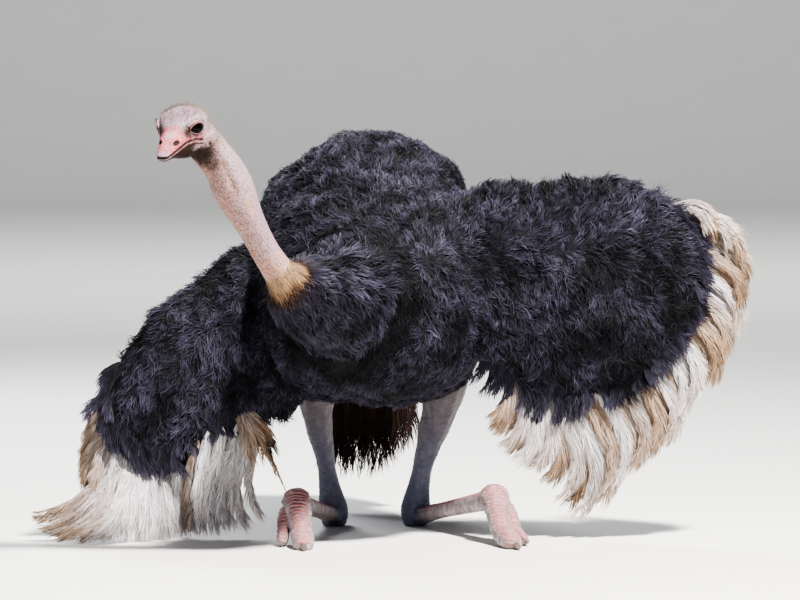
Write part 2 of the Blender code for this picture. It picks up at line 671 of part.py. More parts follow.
def build_plumes(name, wing):
    """The fan of long plumes, one solid with a scalloped edge."""
    columns = wing["plumes"] * PLUME_COLUMNS + 1
    hem = even_hem(wing, columns)
    lines = []
    for i, (degrees, *tip) in enumerate(hem):
        scallop = abs(math.sin(math.pi * i / PLUME_COLUMNS)) ** 0.7
        lines.append(plume_line(wing, degrees, Vector(tip), 1 - PLUME_NOTCH * (1 - scallop)))
    grid = np.array(lines)
    across = np.gradient(hem[:, 1:], axis=0)[:, None, :]
    normals = np.cross(across, np.gradient(grid, axis=1))
    normals *= wing["side"] / np.linalg.norm(normals, axis=2, keepdims=True)
    swell = np.sin(np.linspace(0, math.pi, columns)) ** 0.5
    thin = PLUME_EDGE_THICK + (1 - PLUME_EDGE_THICK) * swell
    half = normals * (thin[:, None] * np.linspace(*PLUME_THICK, PLUME_ROWS)[None, :])[..., None]
    faces = [grid + half, grid - half]
    lowest = np.minimum(faces[0][..., 2], faces[1][..., 2])
    sunk = lowest < 0
    for face in faces:
        above = np.maximum(face[..., 2], FLOOR_THICK)
        below = sunk & (face[..., 2] <= lowest)
        face[..., 2] = np.where(below, 0.0, np.where(sunk, above, face[..., 2]))
    return slab(name, *faces, "white_plumes")


# ---------------------------------------------------------------- the whole bird
def build_ostrich():
    head = build_head()
    bare_neck, sleeve = build_neck()
    trunk = build_trunk()
    cut(bare_neck[0], swollen_copy(head, "head_cutter"))
    cut(bare_neck[2], swollen_copy(sleeve, "sleeve_cutter"))
    tail = build_tail()
    trunk_cutter = swollen_copy(trunk, "trunk_cutter")
    floor = box_cutter("floor_cutter", (-3, -3, -FLOOR_CUT), (3, 3, 0))
    cut(sleeve, trunk_cutter)
    cut(tail, trunk_cutter)
    for side, outward in (("left", 1), ("right", -1)):
        leg = build_leg(side, outward)
        cut(leg["shank"], trunk_cutter)
        cut(leg["shank"], floor)
        shank_cutter = swollen_copy(leg["shank"], "shank_cutter_" + side)
        toe_cutter = swollen_copy(leg["toe_main"], "toe_cutter_" + side)
        cut(leg["tarsus"], shank_cutter)
        cut(leg["tarsus"], toe_cutter)
        cut(leg["tarsus"], floor)
        cut(leg["toe_main"], floor)
        tarsus_cutter = swollen_copy(leg["tarsus"], "tarsus_cutter_" + side)
        cut(leg["toe_outer"], toe_cutter)
        cut(leg["toe_outer"], tarsus_cutter)
        cut(leg["toe_outer"], floor)
        outer_cutter = swollen_copy(leg["toe_outer"], "outer_cutter_" + side)
        for claw, tip_cutter in ((leg["claw_main"], toe_cutter), (leg["claw_outer"], outer_cutter)):
            cut(claw, tip_cutter)
            cut(claw, floor)
    for side, wing in WINGS.items():
        coverts = build_coverts("wing_" + side, wing)
        cut(coverts, trunk_cutter)
        cut(coverts, bpy.data.objects["sleeve_cutter"])
        plumes = build_plumes("plumes_" + side, wing)
        cut(plumes, swollen_copy(coverts, "coverts_cutter_" + side))
    place_on_origin()


def place_on_origin():
    """Hangs everything on one empty, moved so that the middle of the footprint is the origin."""
    everything = list(OSTRICH.objects) + list(CUTTERS.objects)
    graph = bpy.context.evaluated_depsgraph_get()
    clouds = []
    for obj in OSTRICH.objects:
        mesh = obj.evaluated_get(graph).to_mesh()
        points = np.empty(len(mesh.vertices) * 3)
        mesh.vertices.foreach_get("co", points)
        clouds.append(points.reshape(-1, 3) + np.array(obj.location))
    points = np.concatenate(clouds)
    middle = (points.min(axis=0) + points.max(axis=0)) / 2
    origin = bpy.data.objects.new("origin", None)
    OSTRICH.objects.link(origin)
    origin.location = (-float(middle[0]), -float(middle[1]), 0.0)
    for obj in everything:
        obj.parent = origin


clear_scene()
OSTRICH = make_collection("ostrich")
CUTTERS = make_collection("cutters", hidden=True)
PAINT = {name: make_material(name, *finish) for name, finish in MATERIALS.items()}
build_ostrich()
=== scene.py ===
"""Dresses the ostrich: one skin with a modelled head, neck and legs, the black plumage, the two fans
of long plumes, the tail, and the light and camera. Metres, in the frame of the solids: +Z up, the
bird faces -Y."""

import math

import bmesh
import bpy
import numpy as np
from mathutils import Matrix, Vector
from mathutils.bvhtree import BVHTree
from mathutils.kdtree import KDTree


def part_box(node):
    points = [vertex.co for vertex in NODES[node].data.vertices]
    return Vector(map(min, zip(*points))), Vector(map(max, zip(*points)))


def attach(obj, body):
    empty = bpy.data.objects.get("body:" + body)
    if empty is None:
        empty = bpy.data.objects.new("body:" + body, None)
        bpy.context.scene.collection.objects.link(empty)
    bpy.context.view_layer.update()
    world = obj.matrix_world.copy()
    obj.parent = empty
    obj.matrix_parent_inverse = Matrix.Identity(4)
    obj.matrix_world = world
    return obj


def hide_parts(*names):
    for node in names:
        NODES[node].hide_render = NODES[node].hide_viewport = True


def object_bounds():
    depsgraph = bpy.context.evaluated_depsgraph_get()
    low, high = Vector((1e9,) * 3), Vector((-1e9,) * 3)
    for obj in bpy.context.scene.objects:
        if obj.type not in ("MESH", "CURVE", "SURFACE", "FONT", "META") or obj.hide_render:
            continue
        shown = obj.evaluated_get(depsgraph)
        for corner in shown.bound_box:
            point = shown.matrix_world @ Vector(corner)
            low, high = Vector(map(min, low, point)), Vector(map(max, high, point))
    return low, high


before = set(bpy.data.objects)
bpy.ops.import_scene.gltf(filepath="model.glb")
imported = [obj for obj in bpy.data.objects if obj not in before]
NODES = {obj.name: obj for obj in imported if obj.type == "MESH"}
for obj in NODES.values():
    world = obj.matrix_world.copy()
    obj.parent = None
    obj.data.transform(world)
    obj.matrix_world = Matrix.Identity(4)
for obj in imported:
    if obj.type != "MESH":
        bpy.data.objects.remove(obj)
SOLID_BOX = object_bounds()
SIDES = {"left": 1, "right": -1}


# ---------------------------------------------------------------- anchors
def box_middle(node):
    low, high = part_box(node)
    return (low + high) / 2


def inside(node, *shares):
    """A point at given shares of a node's box: across, along and up."""
    return np.array(Vector([low + (high - low) * share for low, high, share in zip(*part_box(node), shares)]))


HEAD_YAW = math.radians(21.5)  # turned to the bird's right
HEAD_PITCH = math.radians(20.0)  # bill down
EYE_OFFSET = Vector((0.003, 0.0375, 0.001))  # from the head's centre: forward, to the side, up
FORWARD = Vector((-math.sin(HEAD_YAW) * math.cos(HEAD_PITCH), -math.cos(HEAD_YAW) * math.cos(HEAD_PITCH),
                  -math.sin(HEAD_PITCH)))
LEFT = Vector((math.cos(HEAD_YAW), -math.sin(HEAD_YAW), 0.0))
CROWN = FORWARD.cross(LEFT)
HEAD_AXES = np.array([FORWARD, LEFT, CROWN])
EYES_MIDDLE = (box_middle("eye_left") + box_middle("eye_right")) / 2
HEAD_MIDDLE = EYES_MIDDLE - FORWARD * EYE_OFFSET.x - CROWN * EYE_OFFSET.z
HEAD_CENTRE = np.array(HEAD_MIDDLE)

CAMERA_FROM_EYES = Vector((0.5348, -11.0821, 0.1266))
CAMERA_PITCH = math.radians(-2.825)
CAMERA_LENS = 205.2
CAMERA_SENSOR = 36.0

# Where the feathers part: on the breast, and where each wing's own feathers fan out.
BREAST = inside("trunk", 0.746, 0.08, 0.537)
LEFT_FAN = inside("wing_left", 0.572, 0.3, 0.640)
RIGHT_SHOULDER = inside("trunk", 0.164, 0.15, 0.575)
COLLAR = np.array(HEAD_MIDDLE + Vector((0.2453, 0.1500, -0.3712)))
COLLAR_RADIUS = 0.042

# Head sections: forward, centre height, half width, half height, squareness, tip back in degrees.
HEAD_SECTIONS = [
    (0.1290, -0.0345, 0.0080, 0.0042, 2.0, 0), (0.1265, -0.0343, 0.0125, 0.0074, 2.1, 0),
    (0.1210, -0.0338, 0.0168, 0.0104, 2.2, 0), (0.1080, -0.0322, 0.0205, 0.0145, 2.2, 0),
    (0.0900, -0.0292, 0.0238, 0.0200, 2.2, 0), (0.0700, -0.0256, 0.0285, 0.0270, 2.2, 0),
    (0.0500, -0.0228, 0.0350, 0.0360, 2.2, 0), (0.0300, -0.0208, 0.0450, 0.0465, 2.3, 0),
    (0.0100, -0.0195, 0.0540, 0.0550, 2.4, 0), (-0.0120, -0.0180, 0.0570, 0.0595, 2.4, 4),
    (-0.0330, -0.0170, 0.0540, 0.0570, 2.3, 12), (-0.0500, -0.0220, 0.0495, 0.0530, 2.1, 26),
    (-0.0640, -0.0320, 0.0450, 0.0480, 2.0, 42)]
BROW = 0.18  # how much broader the head is above than below
# Neck, from the head's centre: place and half width, down to the collar and a little past it.
NECK_PATH = [
    (0.0406, 0.0350, -0.0225, 0.0450), (0.0626, 0.0490, -0.0495, 0.0455), (0.0836, 0.0580, -0.0765, 0.0455),
    (0.1085, 0.0630, -0.1114, 0.0484), (0.1234, 0.0690, -0.1467, 0.0520), (0.1419, 0.0770, -0.1868, 0.0470),
    (0.1591, 0.0850, -0.2226, 0.0405), (0.1801, 0.1000, -0.2635, 0.0362), (0.1983, 0.1150, -0.2992, 0.0355),
    (0.2198, 0.1300, -0.3351, 0.0370), (0.2453, 0.1500, -0.3712, 0.0410), (0.2750, 0.1800, -0.3990, 0.0420),
    (0.3150, 0.2220, -0.4350, 0.0400)]
MOUTH_LINE = [(-0.012, -0.0350), (0.000, -0.0312), (0.022, -0.0232), (0.041, -0.0206), (0.057, -0.0230),
              (0.084, -0.0272), (0.113, -0.0300), (0.140, -0.0340)]  # (forward, height)
NOSTRIL = (0.0800, 0.0215, -0.0112)
NOSTRIL_SIZE = (0.0120, 0.0078, 0.0058)
TENDON = ((0.096, -0.070), (0.136, -0.160))  # a groove down the neck, across and up from the head's centre
EYE_RADIUS = 0.0215
LID_RADIUS = 0.0238
EYE_FACING = {1: (0.50, 0.86, 0.07), -1: (0.20, -0.97, 0.07)}  # left and right, in the head's frame
LID_OPENING = (57.0, 38.0, 33.0)  # half angles of the opening: lengthwise, above, below


# ---------------------------------------------------------------- arrays and meshes
def unit(vectors):
    return vectors / np.maximum(np.linalg.norm(vectors, axis=-1, keepdims=True), 1e-9)


def distance(points, place):
    return np.linalg.norm(points - np.asarray(place), axis=1)


def along_skin(ways, normals, share=1.0):
    """Ways with what leaves the skin taken out."""
    return unit(ways - normals * np.sum(ways * normals, axis=1, keepdims=True) * share)


def ease(values, low, high):
    """0 below low, 1 above high, smooth between."""
    share = np.clip((values - low) / (high - low), 0, 1)
    return share * share * (3 - 2 * share)


def band(values, rise, full, fade, end):
    """1 from full to fade, 0 before the rise and past the end."""
    return ease(values, rise, full) * (1 - ease(values, fade, end))


def bump(values, middle, width):
    """1 at the middle, fading on both sides."""
    return np.exp(-((values - middle) / width) ** 2)


def wobble(points, size, seed):
    """Smooth noise of about -1 to 1, with waves of about the given size."""
    rng = np.random.default_rng(seed)
    total = np.zeros(len(points))
    for _ in range(7):
        wave = unit(rng.normal(size=3)) * rng.uniform(0.6, 1.4) * 2 * math.pi / size
        total += np.sin(points @ wave + rng.uniform(0, 2 * math.pi))
    return total / 2.2


def smooth_rows(rows, count):
    """Resamples rows of numbers along a Catmull-Rom curve through them."""
    table = np.array(rows, float)
    padded = np.vstack([2 * table[0] - table[1], table, 2 * table[-1] - table[-2]])
    places = np.linspace(0, 1, count) * (len(table) - 1)
    index = np.minimum(places.astype(int), len(table) - 2)
    t = (places - index)[:, None]
    a, b, c, d = (padded[index + k] for k in range(4))
    return 0.5 * (2 * b + (c - a) * t + (2 * a - 5 * b + 4 * c - d) * t ** 2
                  + (3 * b - a - 3 * c + d) * t ** 3)


def node_arrays(name):
    mesh = NODES[name].data
    points = np.empty(len(mesh.vertices) * 3)
    mesh.vertices.foreach_get("co", points)
    return points.reshape(-1, 3), [tuple(p.vertices) for p in mesh.polygons]


def remeshed(pieces, voxel):
    """The outer surface of closed meshes, each given as points and faces, as one even mesh of quads."""
    points, faces = [], []
    for own_points, own_faces in pieces:
        faces += [[i + len(points) for i in face] for face in own_faces]
        points += own_points.tolist()
    mesh = bpy.data.meshes.new("guide")
    mesh.from_pydata(points, [], faces)
    guide = add_object("guide", mesh)
    modifier = guide.modifiers.new("even", "REMESH")
    modifier.mode = "VOXEL"
    modifier.voxel_size = voxel
    result = guide.evaluated_get(bpy.context.evaluated_depsgraph_get()).data
    out = np.empty(len(result.vertices) * 3)
    result.vertices.foreach_get("co", out)
    quads = np.empty(len(result.polygons) * 4, int)
    result.polygons.foreach_get("vertices", quads)
    bpy.data.objects.remove(guide)
    return out.reshape(-1, 3), quads.reshape(-1, 4)


def neighbour_mean(points, quads):
    edges = np.concatenate([quads[:, [i, (i + 1) % 4]] for i in range(4)])
    size = len(points)
    one, other = edges.T
    counts = np.bincount(one, minlength=size) + np.bincount(other, minlength=size)
    total = [np.bincount(one, column[other], size) + np.bincount(other, column[one], size)
             for column in points.T]
    return np.stack(total, axis=1) / counts[:, None]


def relax(points, quads, rounds, share=1.0):
    """Draws each point towards the mean of its neighbours."""
    for _ in range(rounds):
        points = points + (neighbour_mean(points, quads) - points) * 0.6 * np.reshape(share, (-1, 1))
    return points


def vertex_normals(points, quads):
    a, b, c, d = (points[quads[:, corner]] for corner in range(4))
    total = [sum(np.bincount(corner, column, len(points)) for corner in quads.T)
             for column in np.cross(c - a, d - b).T]
    return unit(np.stack(total, axis=1))


def pushed(points, normals, amount):
    """Points moved out of the skin, each by its own amount."""
    return points + normals * amount[:, None]


def turn_share(up, across):
    """The direction round a middle, as a share of a full turn."""
    return np.arctan2(up, across) / (2 * math.pi) + 0.5


def fast_mesh(name, points, faces):
    """A smooth mesh from arrays; faces all have the same number of corners."""
    mesh = bpy.data.meshes.new(name)
    count, corners = faces.shape
    mesh.vertices.add(len(points))
    mesh.vertices.foreach_set("co", np.ascontiguousarray(points, np.float32).ravel())
    mesh.loops.add(count * corners)
    mesh.loops.foreach_set("vertex_index", np.ascontiguousarray(faces, np.int32).ravel())
    mesh.polygons.add(count)
    mesh.polygons.foreach_set("loop_start", np.arange(0, count * corners, corners, dtype=np.int32))
    mesh.update(calc_edges=True)
    mesh.shade_smooth()
    return mesh


def set_colour(mesh, name, values):
    """Stores rows of three or four numbers for each vertex."""
    rows = np.ones((len(values), 4), np.float32)
    rows[:, :values.shape[1]] = values
    mesh.color_attributes.new(name, "FLOAT_COLOR", "POINT").data.foreach_set("color", rows.ravel())


def add_object(name, data, *materials):
    obj = bpy.data.objects.new(name, data)
    bpy.context.scene.collection.objects.link(obj)
    for material in materials:
        data.materials.append(material)
    return obj


def object_from_bmesh(name, bm, material):
    mesh = bpy.data.meshes.new(name)
    bm.to_mesh(mesh)
    bm.free()
    mesh.shade_smooth()
    return add_object(name, mesh, material)


# ---------------------------------------------------------------- materials
def connect(tree, node, inputs):
    """Fills a node's inputs; each is a socket to link, a number, a colour or a vector."""
    for name, value in inputs.items():
        socket = node.inputs[name]
        if isinstance(value, bpy.types.NodeSocket):
            tree.links.new(value, socket)
        elif isinstance(value, (int, float)):
            socket.default_value = value
        else:
            socket.default_value = (*value, 1.0)[:len(socket.default_value)]


def add_node(tree, kind, inputs=None, **settings):
    node = tree.nodes.new("ShaderNode" + kind)
    for name, value in settings.items():
        setattr(node, name, value)
    connect(tree, node, inputs or {})
    return node.outputs


def new_material(name, inputs):
    """A material with numbers and colours set on its shader, its node tree, and what fills more inputs."""
    material = bpy.data.materials.new(name)
    material.use_nodes = True
    tree = material.node_tree
    shader = tree.nodes["Principled BSDF"]
    connect(tree, shader, inputs)
    return material, tree, lambda more: connect(tree, shader, more)


def mixed(tree, factor, first, second):
    return add_node(tree, "Mix", {0: factor, 6: first, 7: second}, data_type="RGBA")[2]


def computed(tree, operation, *values, clamp=False):
    return add_node(tree, "Math", dict(enumerate(values)), operation=operation, use_clamp=clamp)[0]


def product(tree, first, second, clamp=False):
    return computed(tree, "MULTIPLY", first, second, clamp=clamp)


def object_place(tree):
    return add_node(tree, "TexCoord")["Object"]


def noise(tree, scale):
    return add_node(tree, "TexNoise", {"Scale": scale, "Detail": 3.0, "Vector": object_place(tree)})["Fac"]


def bumped(tree, height, strength, depth):
    return add_node(tree, "Bump", {"Strength": strength, "Distance": depth, "Height": height})["Normal"]


def ramp(tree, factor, stops):
    node = tree.nodes.new("ShaderNodeValToRGB")
    tree.links.new(factor, node.inputs[0])
    elements = node.color_ramp.elements
    while len(elements) < len(stops):
        elements.new(0.5)
    for element, (place, colour) in zip(elements, stops):
        element.position = place
        element.color = (*colour, 1.0)
    return node.outputs[0]


def contrast(tree, factor, low, high):
    """Black below low and white above high."""
    return ramp(tree, factor, [(low, (0.0, 0.0, 0.0)), (high, (1.0, 1.0, 1.0))])


def stored_marks(tree, name):
    """The three colour channels and the fourth value stored on the mesh."""
    stored = add_node(tree, "Attribute", attribute_name=name)
    return (*add_node(tree, "SeparateColor", {0: stored["Color"]}), stored["Alpha"])


def new_group(name, inputs, outputs):
    """An empty node group, the sockets it takes and the sockets it fills."""
    group = bpy.data.node_groups.new(name, "ShaderNodeTree")
    for in_out, sockets in (("INPUT", inputs), ("OUTPUT", outputs)):
        for label, kind in sockets.items():
            group.interface.new_socket(name=label, in_out=in_out, socket_type="NodeSocket" + kind)
    return group, group.nodes.new("NodeGroupInput").outputs, group.nodes.new("NodeGroupOutput").inputs


def barb_shade_group():
    """Every feather's barbs: darker at the root as painted shade, uneven from one tuft to the next."""
    group, entry, leave = new_group("barb shade", {
        "Colour": "Color", "Along": "Float", "Tone": "Float", "Root Shade": "Float", "Unevenness": "Float"},
        {"Colour": "Color"})
    colour, along, tone, depth, unevenness = entry[:5]
    light = computed(group, "SUBTRACT", 1.0, product(group, computed(group, "SUBTRACT", 1.0, along), depth))
    swing = product(group, computed(group, "SUBTRACT", tone, 0.5), unevenness)
    light = product(group, light, computed(group, "ADD", 1.0, swing))
    scaled = add_node(group, "VectorMath", {0: colour, "Scale": light}, operation="SCALE")
    group.links.new(scaled[0], leave[0])
    return group


def feather_material(name, colours, roughness, root_shade, unevenness, sheen):
    """colours are (share, colour) stops of the tint stored on each tuft."""
    material, tree, finish = new_material(name, {
        "Roughness": roughness, "Sheen Weight": sheen, "Sheen Roughness": 0.45,
        "Sheen Tint": (0.75, 0.78, 1.0), "Specular IOR Level": 0.22})
    along, tone, tint, _ = stored_marks(tree, "coat")
    shade = add_node(tree, "Group", node_tree=BARB_SHADE)[0]
    connect(tree, shade.node, {"Colour": ramp(tree, tint, colours), "Along": along, "Tone": tone,
                               "Root Shade": root_shade, "Unevenness": unevenness})
    finish({"Base Color": shade})
    return material


def skin_grain_group():
    """Fine pores and creases for bare skin: a tint mask and a height."""
    group, entry, leave = new_group("skin grain", {"Pore Scale": "Float", "Crease Scale": "Float"},
                                    {"Mottle": "Float", "Height": "Float"})
    place = object_place(group)
    pores = add_node(group, "TexVoronoi", {"Vector": place, "Scale": entry[0]})["Distance"]
    creases = add_node(group, "TexNoise", {"Detail": 5.0, "Vector": place, "Scale": entry[1]})["Fac"]
    group.links.new(creases, leave[0])
    group.links.new(computed(group, "ADD", product(group, pores, -0.8), creases), leave[1])
    return group


def skin_grain(tree, pores, creases):
    outputs = add_node(tree, "Group", node_tree=SKIN_GRAIN)
    connect(tree, outputs[0].node, {"Pore Scale": pores, "Crease Scale": creases})
    return outputs


def head_skin_material():
    """Bare head and neck: lilac grey, with the markings stored on the skin as four masks, which also carry
    painted shade on the neck and in the folds above the eyes.
    """
    material, tree, finish = new_material("bare head and neck", {
        "Roughness": 0.6, "Specular IOR Level": 0.25})
    red, dark, pale, buff = stored_marks(tree, "marks")
    grain = skin_grain(tree, 330.0, 210.0)
    mottle = contrast(tree, grain["Mottle"], 0.42, 0.58)

    def broken(mask, least, swing):
        return product(tree, mask, computed(tree, "ADD", least, product(tree, mottle, swing)), clamp=True)

    base = mixed(tree, mottle, (0.238, 0.164, 0.200), (0.362, 0.283, 0.340))
    base = mixed(tree, broken(buff, 0.75, 0.4), base,
                 mixed(tree, mottle, (0.36, 0.18, 0.105), (0.58, 0.39, 0.27)))
    base = mixed(tree, pale, base, (0.475, 0.350, 0.340))
    base = mixed(tree, red, base, mixed(tree, mottle, (0.40, 0.072, 0.082), (0.53, 0.150, 0.165)))
    base = mixed(tree, broken(dark, 1.35, -0.25), base, (0.035, 0.018, 0.012))
    finish({"Base Color": base, "Normal": bumped(tree, grain["Height"], 0.55, 0.0015)})
    return material


def leg_skin_material():
    """Grey shanks, blue towards the hock, with red and pale cross scales on the tarsi and toes."""
    material, tree, finish = new_material("legs", {"Roughness": 0.5})
    scales, blue, pale, side_brown = stored_marks(tree, "marks")
    grain = skin_grain(tree, 240.0, 70.0)
    mottle = contrast(tree, grain["Mottle"], 0.35, 0.68)
    base = mixed(tree, mottle, (0.098, 0.080, 0.080), (0.140, 0.115, 0.116))
    base = mixed(tree, blue, base, mixed(tree, mottle, (0.110, 0.115, 0.172), (0.160, 0.166, 0.240)))
    base = mixed(tree, pale, base, mixed(tree, mottle, (0.31, 0.245, 0.252), (0.52, 0.455, 0.475)))
    # brown on the sides and undersides of the toes and tarsi
    base = mixed(tree, side_brown, base, (0.20, 0.13, 0.10))
    bands = product(tree, add_node(tree, "Attribute", attribute_name="lengthwise")["Fac"], math.pi)
    wave = computed(tree, "ABSOLUTE", computed(tree, "SINE", bands))
    ridge = product(tree, computed(tree, "POWER", wave, 1.5), scales)
    seam = product(tree, computed(tree, "POWER", computed(tree, "SUBTRACT", 1.0, wave), 3.0), scales)
    base = mixed(tree, product(tree, ridge, 0.85), base, (0.42, 0.105, 0.095))
    base = mixed(tree, product(tree, seam, 0.5), base, (0.13, 0.065, 0.060))
    height = computed(tree, "ADD", grain["Height"], product(tree, ridge, 0.8))
    finish({"Base Color": base, "Normal": bumped(tree, height, 0.8, 0.0022)})
    return material


def two_tone_material(name, colour, other, roughness, scale, strength=0.0):
    """Plain finishes: two tones, and a fine grain where there is a strength."""
    material, tree, finish = new_material(name, {"Roughness": roughness})
    finish({"Base Color": mixed(tree, noise(tree, scale), colour, other)})
    if strength:
        finish({"Normal": bumped(tree, noise(tree, scale * 4), strength, 0.0006)})
    return material


BARB_SHADE = barb_shade_group()
SKIN_GRAIN = skin_grain_group()
# In each feather finish below, the number after the roughness is how much darker the barbs are painted at the
# root: painted shade.
BLACK_FEATHER = feather_material(
    "black plumage", [(0.0, (0.006, 0.006, 0.009)), (0.40, (0.092, 0.084, 0.131)),
                      (0.55, (0.085, 0.050, 0.035)), (0.75, (0.34, 0.20, 0.11)),
                      (1.0, (0.74, 0.53, 0.34))], 0.62, 0.98, 1.80, 0.04)
WHITE_FEATHER = feather_material(
    "long plumes", [(0.0, (0.86, 0.83, 0.86)), (0.30, (0.63, 0.545, 0.515)), (0.6, (0.43, 0.29, 0.19)),
                    (0.85, (0.15, 0.092, 0.064)), (1.0, (0.014, 0.012, 0.018))], 0.55, 0.60, 1.1, 0.05)
BROWN_FEATHER = feather_material(
    "tail plumes", [(0.0, (0.016, 0.008, 0.006)), (0.6, (0.048, 0.024, 0.018)), (1.0, (0.15, 0.085, 0.055))],
    0.6, 0.6, 0.9, 0.15)
COLLAR_HAIR = feather_material(
    "collar fringe", [(0.0, (0.040, 0.036, 0.052)), (0.35, (0.075, 0.043, 0.030)),
                      (0.65, (0.36, 0.21, 0.115)), (1.0, (0.86, 0.62, 0.41))], 0.6, 0.50, 0.9, 0.05)
HAIR = feather_material(
    "bristles and down", [(0.0, (0.030, 0.017, 0.012)), (0.5, (0.26, 0.16, 0.11)), (1.0, (0.70, 0.58, 0.56))],
    0.6, 0.2, 0.6, 0.1)
HEAD_SKIN = head_skin_material()
LEG_SKIN = leg_skin_material()
# Near black: painted shade that shows in the gaps between the tufts.
UNDER_SKIN_SHADE = two_tone_material(
    "skin under the plumage as painted shade", (0.004, 0.004, 0.006), (0.009, 0.008, 0.011), 1.0, 30)
CLAW_HORN = two_tone_material("claw horn", (0.10, 0.075, 0.065), (0.22, 0.17, 0.15), 0.4, 60, 0.3)


# ---------------------------------------------------------------- head and neck skin
HEAD_RINGS, HEAD_SIDES = 60, 64
NECK_RINGS, NECK_SIDES = 70, 48
RIM_STEPS, RIM_SIDES = 72, 8  # the lids' thick edges
HEAD_VOXEL = 0.0021
# Swellings and hollows beside each eye: place, radius, amount.
EYE_FORMS = [((0.002, 0.050, 0.027), 0.016, 0.0030), ((0.047, 0.036, 0.004), 0.015, -0.0030),
             ((0.010, 0.049, -0.040), 0.011, 0.0038), ((-0.028, 0.052, -0.032), 0.014, 0.0020)]


def ring_points(centre, across, upward, width, height, sides, power):
    """A ring of points, and how far up from the centre each lies."""
    angle = np.linspace(0, 2 * math.pi, sides, endpoint=False)
    c, s = np.cos(angle), np.sin(angle)
    x = np.sign(c) * np.abs(c) ** (2 / power) * width
    y = np.sign(s) * np.abs(s) ** (2 / power) * height
    return centre + across * x[:, None] + upward * y[:, None], y


def tube_faces(rings, sides):
    faces = []
    for r in range(rings - 1):
        for i in range(sides):
            j = (i + 1) % sides
            faces.append((r * sides + i, r * sides + j, (r + 1) * sides + j, (r + 1) * sides + i))
    faces.append(tuple(range(sides))[::-1])
    faces.append(tuple(range((rings - 1) * sides, rings * sides)))
    return faces


def to_head(points):
    """World points as forward, left and up from the head's centre."""
    return (points - HEAD_CENTRE) @ HEAD_AXES.T


def from_head(points):
    return points @ HEAD_AXES + HEAD_CENTRE


def head_blank():
    forward, left, up = HEAD_AXES
    rings = []
    for ahead, height, width, tall, power, tip in smooth_rows(HEAD_SECTIONS, HEAD_RINGS):
        angle = math.radians(tip)
        upward = up * math.cos(angle) - forward * math.sin(angle)
        centre = from_head(np.array([ahead, 0.0, height]))
        points, y = ring_points(centre, left, upward, width, tall, HEAD_SIDES, power)
        sideways = (points - centre) @ left
        rings.append(points + left * (sideways * BROW * y / tall)[:, None])
    return np.concatenate(rings), tube_faces(HEAD_RINGS, HEAD_SIDES)


def neck_line(count):
    """Places down the middle of the neck, and its half width at each."""
    rows = smooth_rows(NECK_PATH, count)
    return rows[:, :3] + HEAD_CENTRE, rows[:, 3]


def neck_blank():
    centres, radii = neck_line(NECK_RINGS)
    rings = []
    for centre, tangent, radius in zip(centres, unit(np.gradient(centres, axis=0)), radii):
        across = unit(HEAD_AXES[1] - tangent * (HEAD_AXES[1] @ tangent))
        upward = np.cross(across, tangent)
        rings.append(ring_points(centre, across, upward, radius, radius, NECK_SIDES, 2.0)[0])
    return np.concatenate(rings), tube_faces(NECK_RINGS, NECK_SIDES)


def bulge(points, normals, place, radius, amount):
    """Moves points near a place on either side of the head along their normals."""
    local = to_head(points)
    for side in SIDES.values():
        far = distance(local, (place[0], place[1] * side, place[2]))
        points = pushed(points, normals, amount * bump(far, 0, radius))
    return points


def opening_angle(turn):
    """Half angle of the eye's opening, in a direction round it: 0 forward, 90 up."""
    lengthwise, above, below = LID_OPENING
    tall = np.where(np.sin(turn) > 0, above, below)
    return 1 / np.sqrt((np.cos(turn) / lengthwise) ** 2 + (np.sin(turn) / tall) ** 2)


def eye_axes(side):
    facing = unit(np.array(EYE_FACING[side]))
    up = unit(np.array([0, 0, 1]) - facing * facing[2])
    front = np.cross(up, facing) * side
    centre = np.array([EYE_OFFSET.x, EYE_OFFSET.y * side, EYE_OFFSET.z])
    return centre, facing, front, up


def seen_from_eye(local, side):
    """For points of the head: the way from an eye's centre, how far, the degrees off its axis, and the
    degrees past the edge of its opening."""
    centre, facing, front, up = eye_axes(side)
    offset = local - centre
    far = np.linalg.norm(offset, axis=1)
    angle = np.degrees(np.arccos(np.clip((offset @ facing) / np.maximum(far, 1e-9), -1, 1)))
    return offset, far, angle, angle - opening_angle(np.arctan2(offset @ up, offset @ front))


def shape_eyes(points):
    """Wraps the skin over the eyeballs as lids and opens it in front of them."""
    local = to_head(points)
    for side in SIDES.values():
        offset, far, angle, past = seen_from_eye(local, side)
        near = (far < 0.036) & (angle < 88)
        wrap = ease(past, 0, 34) * ease(far, 0.0, LID_RADIUS)
        lid = LID_RADIUS + (far - LID_RADIUS) * wrap
        target = np.where(past < 0, EYE_RADIUS * 0.84, np.where(far < LID_RADIUS, LID_RADIUS, lid))
        moved = eye_axes(side)[0] + offset / np.maximum(far, 1e-9)[:, None] * target[:, None]
        local = np.where(near[:, None], moved, local)
    return from_head(local)


